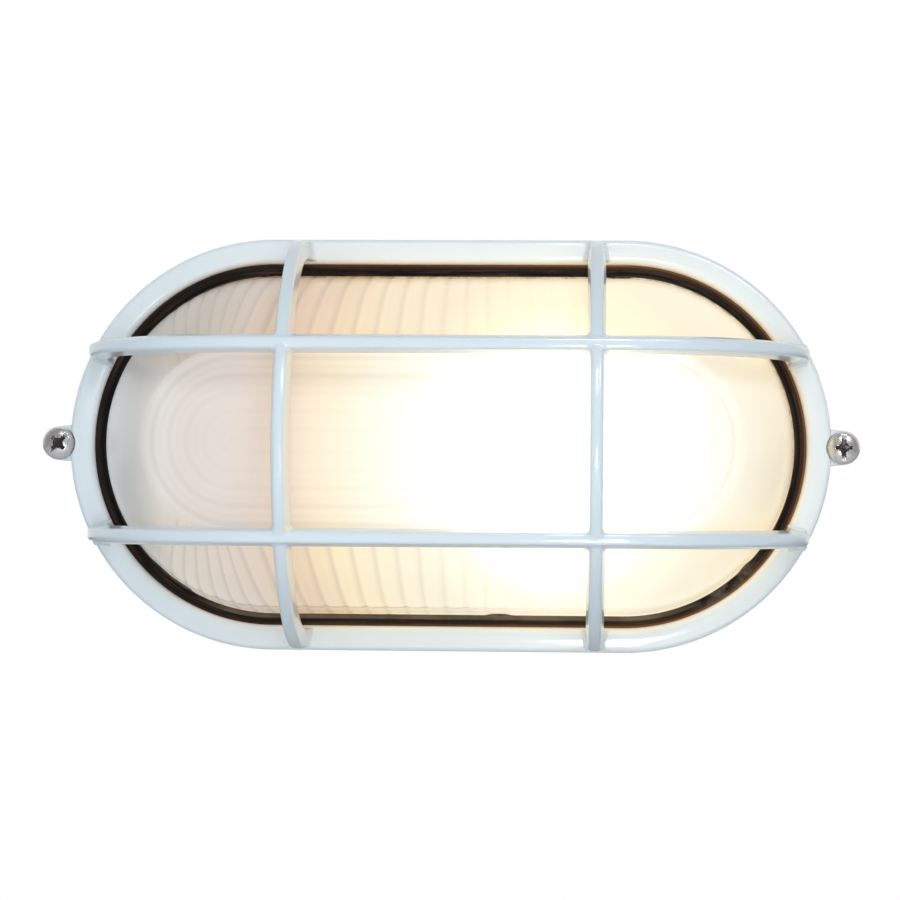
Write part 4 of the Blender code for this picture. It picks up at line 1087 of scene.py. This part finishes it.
housing = {
    "arc": 120,
    "side": 12,
    "gap": 0.3,                # to the guard's edge
    "face": 36.7,
    "seat": 35.2,
    "seatInset": 2.5,
    "flangeBack": 31.7,
    "wallInset": 5.2,
    "wall": 3.0,
    "draft": 1.3,
    "floor": 3.0,
    "backEdge": 1.2,
    "entryLevel": 15.85,
    "gusset": [(93.7, 19.7), (103.5, 26.4), (103.5, 32.0), (93.7, 32.0)],
    "gussetHalf": 1.5,
    "fixing": (62.0, -26.0),
    "small": {-1: [(-71.3, -11.0), (-71.3, 11.0)], 1: [(-24.7, -32.0), (2.0, -31.0)]},
    "crease": 35,
}
# Each boss and the hole in it, as profiles of (radius, out of the wall);
# for the entries the level is the distance from the middle instead
bosses = {
    "pillar": ([(0, 21.2), (3.3, 21.2), (3.6, 21.5), (4.0, 34.2), (0, 34.2)],
               [(0, 24.3), (2.3, 24.3), (2.3, 40), (0, 40)]),
    "fixing": ([(0, 1.5), (6.0, 1.5), (6.0, 5.7), (5.7, 6.0), (0, 6.0)],
               [(0, -1), (3.15, -1), (3.15, 8), (0, 8)]),
    "small": ([(0, 1.5), (4.0, 1.5), (4.0, 7.2), (3.7, 7.5), (0, 7.5)],
              [(0, 1.6), (1.8, 1.6), (1.8, 9), (0, 9)]),
    "entry": ([(0, 46.5), (12.6, 46.5), (12.6, 51.4), (12.45, 51.75), (12.1, 51.9), (0, 51.9)],
              [(0, 41.7), (10.0, 41.7), (10.0, 53), (0, 53)]),
}


def housingSection(settings):
    # From the back plate, up the outside, over the flange and down to the floor inside
    gap, edge, wallInset = settings["gap"], settings["backEdge"], settings["wallInset"]
    face, flangeBack, floor = settings["face"], settings["flangeBack"], settings["floor"]
    back = wallInset + settings["draft"]
    inner = wallInset + settings["wall"]
    foot = inner + settings["draft"]
    section = [(back + edge + 1.0, 0)] + arcOf((back + edge, edge), edge, 270, 180, 7)
    section += [(back - 0.05, edge + 0.8), (wallInset + 0.05, flangeBack - 1.8)]
    section += arcOf((wallInset - 0.8, flangeBack - 0.8), 0.8, 0, 90, 5)
    section += [(wallInset - 1.3, flangeBack), (gap + 1.0, flangeBack)]
    section += arcOf((gap + 0.5, flangeBack + 0.5), 0.5, 270, 180, 4) + [(gap, flangeBack + 1.0), (gap, face - 0.8)]
    section += arcOf((gap + 0.3, face - 0.3), 0.3, 180, 90, 3) + [(gap + 0.8, face)]
    section += [(settings["seatInset"], face), (settings["seatInset"], settings["seat"]), (inner, settings["seat"])]
    return section + arcOf((foot + 1, floor + 1), 1.0, 180, 270, 4) + [(foot + 2, floor)]


def shellWork(settings):
    work = sweptRing(housingSection(settings), settings["arc"], settings["side"], closed=False)
    bmesh.ops.holes_fill(work, edges=[edge for edge in work.edges if edge.is_boundary], sides=0)
    return facedOut(work)


def makeHousing(settings, material):
    shell = linkMesh("housingCasting", shellWork(settings))
    added, cut = [], []
    for side in (-1, 1):
        places = earPlaces(side, guard, -settings["gap"])
        ear = prismWork(places, settings["flangeBack"] + 0.05, settings["face"] - 0.05)
        gusset = prismWork([(side * x, out) for x, out in settings["gusset"]], -settings["gussetHalf"],
                           settings["gussetHalf"], lambda x, out, up: atWall(x, up, out))
        added += [linkMesh("earTool", ear), linkMesh("gussetTool", gusset)]
        spots = [("pillar", guard["screwX"] * side, 0), ("fixing", *(side * value for value in settings["fixing"]))]
        for kind, x, up in spots + [("small", *place) for place in settings["small"][side]]:
            for profile, group in zip(bosses[kind], (added, cut)):
                group.append(linkMesh("turnedTool", moved(turnedWork(profile, 64), atWall(x, up, 0))))
        for profile, group in zip(bosses["entry"], (added, cut)):
            entry = turnedWork(profile, 96)
            turn = Matrix.Rotation(-side * math.pi / 2, 3, "X")
            bmesh.ops.rotate(entry, cent=(0, 0, 0), matrix=turn, verts=entry.verts)
            group.append(linkMesh("entryTool", moved(entry, atWall(0, 0, settings["entryLevel"]))))
    for tools, operation in ((added, "UNION"), (cut, "DIFFERENCE")):
        for tool in tools:
            boolean(shell, tool, operation)
    settle(shell, settings["crease"])
    dropObjects(added + cut)
    dress(shell, material, ["back_housing"])


makeHousing(housing, housingCoat)
print("stage 7: housing cast")


# Grommet and plug: copies of the solids with eased edges

eased = {
    "width": 0.25,
    "segments": 2,
    "limit": 28,
}
plastic = {
    "ripple": 420.0,
    "grain": 2600.0,
    "grainShare": 0.6,
    "dust": 0.4,
    "coat": 0.0,
    "roughness": (0.38, 0.52),
    "bump": 0.25,
    "bumpDepth": 0.0002,
}


def easedCopy(node, name, material, settings):
    work = bmesh.new()
    work.from_mesh(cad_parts[node].data)
    bmesh.ops.remove_doubles(work, verts=work.verts, dist=1e-6)
    bmesh.ops.dissolve_limit(work, angle_limit=math.radians(0.5), verts=work.verts, edges=work.edges)
    item = linkMesh(name, work, smooth=False)
    bevel(item, settings["width"], settings["segments"], settings["limit"])
    dress(settle(item, settings["limit"]), material, [node])


softBlack = coatMaterial("rubberSeal", (0.016, 0.015, 0.014), (0.045, 0.040, 0.035), {
    **plastic, "roughness": (0.5, 0.66)})
plugWhite = coatMaterial("plugPlastic", (0.70, 0.71, 0.70), (0.58, 0.58, 0.56), plastic)
easedCopy("entry_grommet", "entryGrommet", softBlack, eased)
easedCopy("blanking_plug", "entryPlug", plugWhite, eased)
print("stage 8: entries eased")


# Inner pieces keep their solids and get a finish each

def paintNode(node, material):
    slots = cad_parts[node].data.materials
    slots.clear()
    slots.append(material)


def dressInside():
    brass = metalMaterial("cleanBrass", (0.72, 0.50, 0.20), (0.36, 0.22, 0.09), {
        "grain": 900.0, "stain": 0.4, "roughness": (0.2, 0.4), "bump": 0.2, "bumpDepth": 0.0001})
    zinc = metalMaterial("zincSteel", (0.56, 0.57, 0.60), (0.36, 0.36, 0.34), {
        "grain": 500.0, "stain": 0.5, "roughness": (0.28, 0.5), "bump": 0.25, "bumpDepth": 0.0001})
    wires = {
        "wire_live": coatMaterial("liveSleeve", (0.17, 0.07, 0.03), (0.12, 0.05, 0.02), plastic),
        "wire_neutral": coatMaterial("neutralSleeve", (0.03, 0.10, 0.36), (0.02, 0.07, 0.26), plastic),
        "wire_earth": stripedSleeve(),
    }
    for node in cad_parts:
        if node in wires:
            paintNode(node, wires[node])
        elif node in ("lampholder_shell", "lampholder_contact", "earth_tag") or "insert" in node:
            paintNode(node, brass)
        elif "bracket" in node or "_screw" in node and not node.startswith("cover"):
            paintNode(node, zinc)
    paintNode("lampholder_body", coatMaterial("glazedCeramic", (0.80, 0.79, 0.75), (0.70, 0.68, 0.63), {
        **coat, "roughness": (0.1, 0.22), "bump": 0.1}))
    paintNode("terminal_block", coatMaterial("blockPlastic", (0.62, 0.60, 0.54), (0.50, 0.48, 0.42), plastic))
    paintNode("plug_seal", softBlack)
    paintNode("lamp", lampMaterial())


def stripedSleeve():
    # Green with a yellow stripe on one side
    material, tree, shader = newMaterial("earthSleeve", {"Roughness": 0.42})
    side = split(addNode(tree, "ShaderNodeNewGeometry", output="Normal"))["Z"]
    stripe = mathOf("GREATER_THAN", side, 0.2)
    fill(shader, {"Base Color": blend(stripe, (0.03, 0.22, 0.05), (0.72, 0.55, 0.04))})
    addBump(shader, noiseOf(placeIn(tree), 2200.0), 0.2, 0.0001)
    return material


def lampMaterial():
    # Opal bulb that gives way to its metal cap along x
    material, tree, shader = newMaterial("opalLamp", {"IOR": 1.5, "Emission Strength": 1.0})
    along = split(placeIn(tree))["X"]
    bulb = spread(along, -0.0262, -0.0258)
    warm = spread(along, -0.01, 0.03, smooth=True)
    fill(shader, {"Base Color": blend(bulb, (0.55, 0.50, 0.42), (0.90, 0.88, 0.82)),
                  "Metallic": spread(bulb, 0.0, 1.0, 1.0, 0.0), "Roughness": spread(bulb, 0.0, 1.0, 0.35, 0.18),
                  "Emission Color": blend(warm, (0.0, 0.0, 0.0), (1.0, 0.85, 0.60))})
    return material


dressInside()
print("stage 9: inner pieces dressed")


# Stage: a pale floor well below, a white room and soft lamps

def makeFloor():
    work = bmesh.new()
    bmesh.ops.create_grid(work, x_segments=1, y_segments=1, size=3.0)
    floor = linkMesh("paleFloor", moved(work, Vector((0, 0, -0.3))))
    material = bpy.data.materials.new("paleFloor")
    material.use_nodes = True
    tree = material.node_tree
    tree.nodes.clear()
    matt = addNode(tree, "ShaderNodeBsdfDiffuse", {"Color": (0.86, 0.86, 0.86)})
    white = addNode(tree, "ShaderNodeEmission", {"Color": (1, 1, 1), "Strength": 1.0})
    # The camera sees the shadow near the light, and plain white further out
    away = spread(vectorOf("LENGTH", placeIn(tree)), 0.4, 1.0, 0.6, 1.0, smooth=True)
    seen = addNode(tree, "ShaderNodeLightPath", output="Is Camera Ray")
    mixed = addNode(tree, "ShaderNodeMixShader", {0: seen * away, 1: matt, 2: white})
    addNode(tree, "ShaderNodeOutputMaterial", {"Surface": mixed})
    floor.data.materials.append(material)


def makeRoom(fillLight, mirrored):
    # White to the camera, an even fill for the rest, darker behind the camera for gloss
    world = bpy.data.worlds.new("whiteRoom")
    bpy.context.scene.world = world
    world.use_nodes = True
    tree = world.node_tree
    tree.nodes.clear()
    path = addNode(tree, "ShaderNodeLightPath")
    direction = addNode(tree, "ShaderNodeTexCoord", output="Generated")
    # A dark card low on the right draws the thin line round the rim's edge there
    card = spread(vectorOf("DOT_PRODUCT", direction, (0.55, 0.63, -0.55)), 0.78, 0.92, 1.0, 0.1)
    parts = split(direction)
    behind = spread(parts["Y"], -0.5, 0.45, mirrored, 1.0, smooth=True) * card
    above = spread(parts["Z"], 0.0, 0.9, 1.0, 0.6)
    even = addNode(tree, "ShaderNodeBackground", {"Color": (0.90, 0.95, 1.0), "Strength": above * fillLight})
    glossy = addNode(tree, "ShaderNodeBackground", {"Color": (0.96, 0.98, 1.0), "Strength": behind})
    white = addNode(tree, "ShaderNodeBackground", {"Color": (1, 1, 1), "Strength": 1.0})
    first = addNode(tree, "ShaderNodeMixShader", {0: path["Is Glossy Ray"], 1: even, 2: glossy})
    seen = mathOf("MAXIMUM", path["Is Camera Ray"], path["Is Transmission Ray"])
    second = addNode(tree, "ShaderNodeMixShader", {0: seen, 1: first, 2: white})
    addNode(tree, "ShaderNodeOutputWorld", {"Surface": second})


# Each lamp is an ellipse that looks at the light; the glints draw streaks in the coat
lamps = {
    "key": {"place": (0.45, -0.95, 0.68), "size": (0.35, 0.35), "power": 2.5, "color": (1.0, 0.985, 0.96)},
    "left": {"place": (-0.95, -0.75, 0.25), "size": (0.7, 0.7), "power": 1.8, "color": (0.90, 0.96, 1.0)},
    "low": {"place": (0.25, -0.9, -0.7), "size": (0.7, 0.7), "power": 8.0, "color": (1.0, 0.98, 0.95)},
    "front": {"place": (0.15, -1.25, 0.1), "size": (0.8, 0.8), "power": 4.2, "color": (0.96, 0.99, 1.0)},
    "glintHigh": {"place": (0.06, -1.1, 0.70), "size": (0.10, 0.32), "power": 1.4, "color": (1.0, 1.0, 1.0)},
    "glintLow": {"place": (0.06, -1.2, -0.17), "size": (0.09, 0.26), "power": 0.9, "color": (1.0, 1.0, 1.0)},
    "back": {"place": (0.2, 1.0, 0.7), "size": (0.6, 0.6), "power": 2.5, "color": (0.96, 0.98, 1.0)},
}
mirroredLamps = ("key", "glintHigh", "glintLow")


def placeLamps(settings):
    for name, lamp in settings.items():
        data = bpy.data.lights.new(name + "Lamp", "AREA")
        data.shape = "ELLIPSE"
        data.size, data.size_y = lamp["size"]
        data.energy = lamp["power"]
        data.color = lamp["color"]
        item = bpy.data.objects.new(name + "Lamp", data)
        bpy.context.collection.objects.link(item)
        item.location = lamp["place"]
        item.visible_glossy = name in mirroredLamps
        item.rotation_euler = (-Vector(lamp["place"])).to_track_quat("-Z", "Y").to_euler()


makeFloor()
makeRoom(0.36, 0.22)
placeLamps(lamps)
bpy.context.scene.view_settings.view_transform = "Standard"
print("stage 10: floor, room and lamps placed")
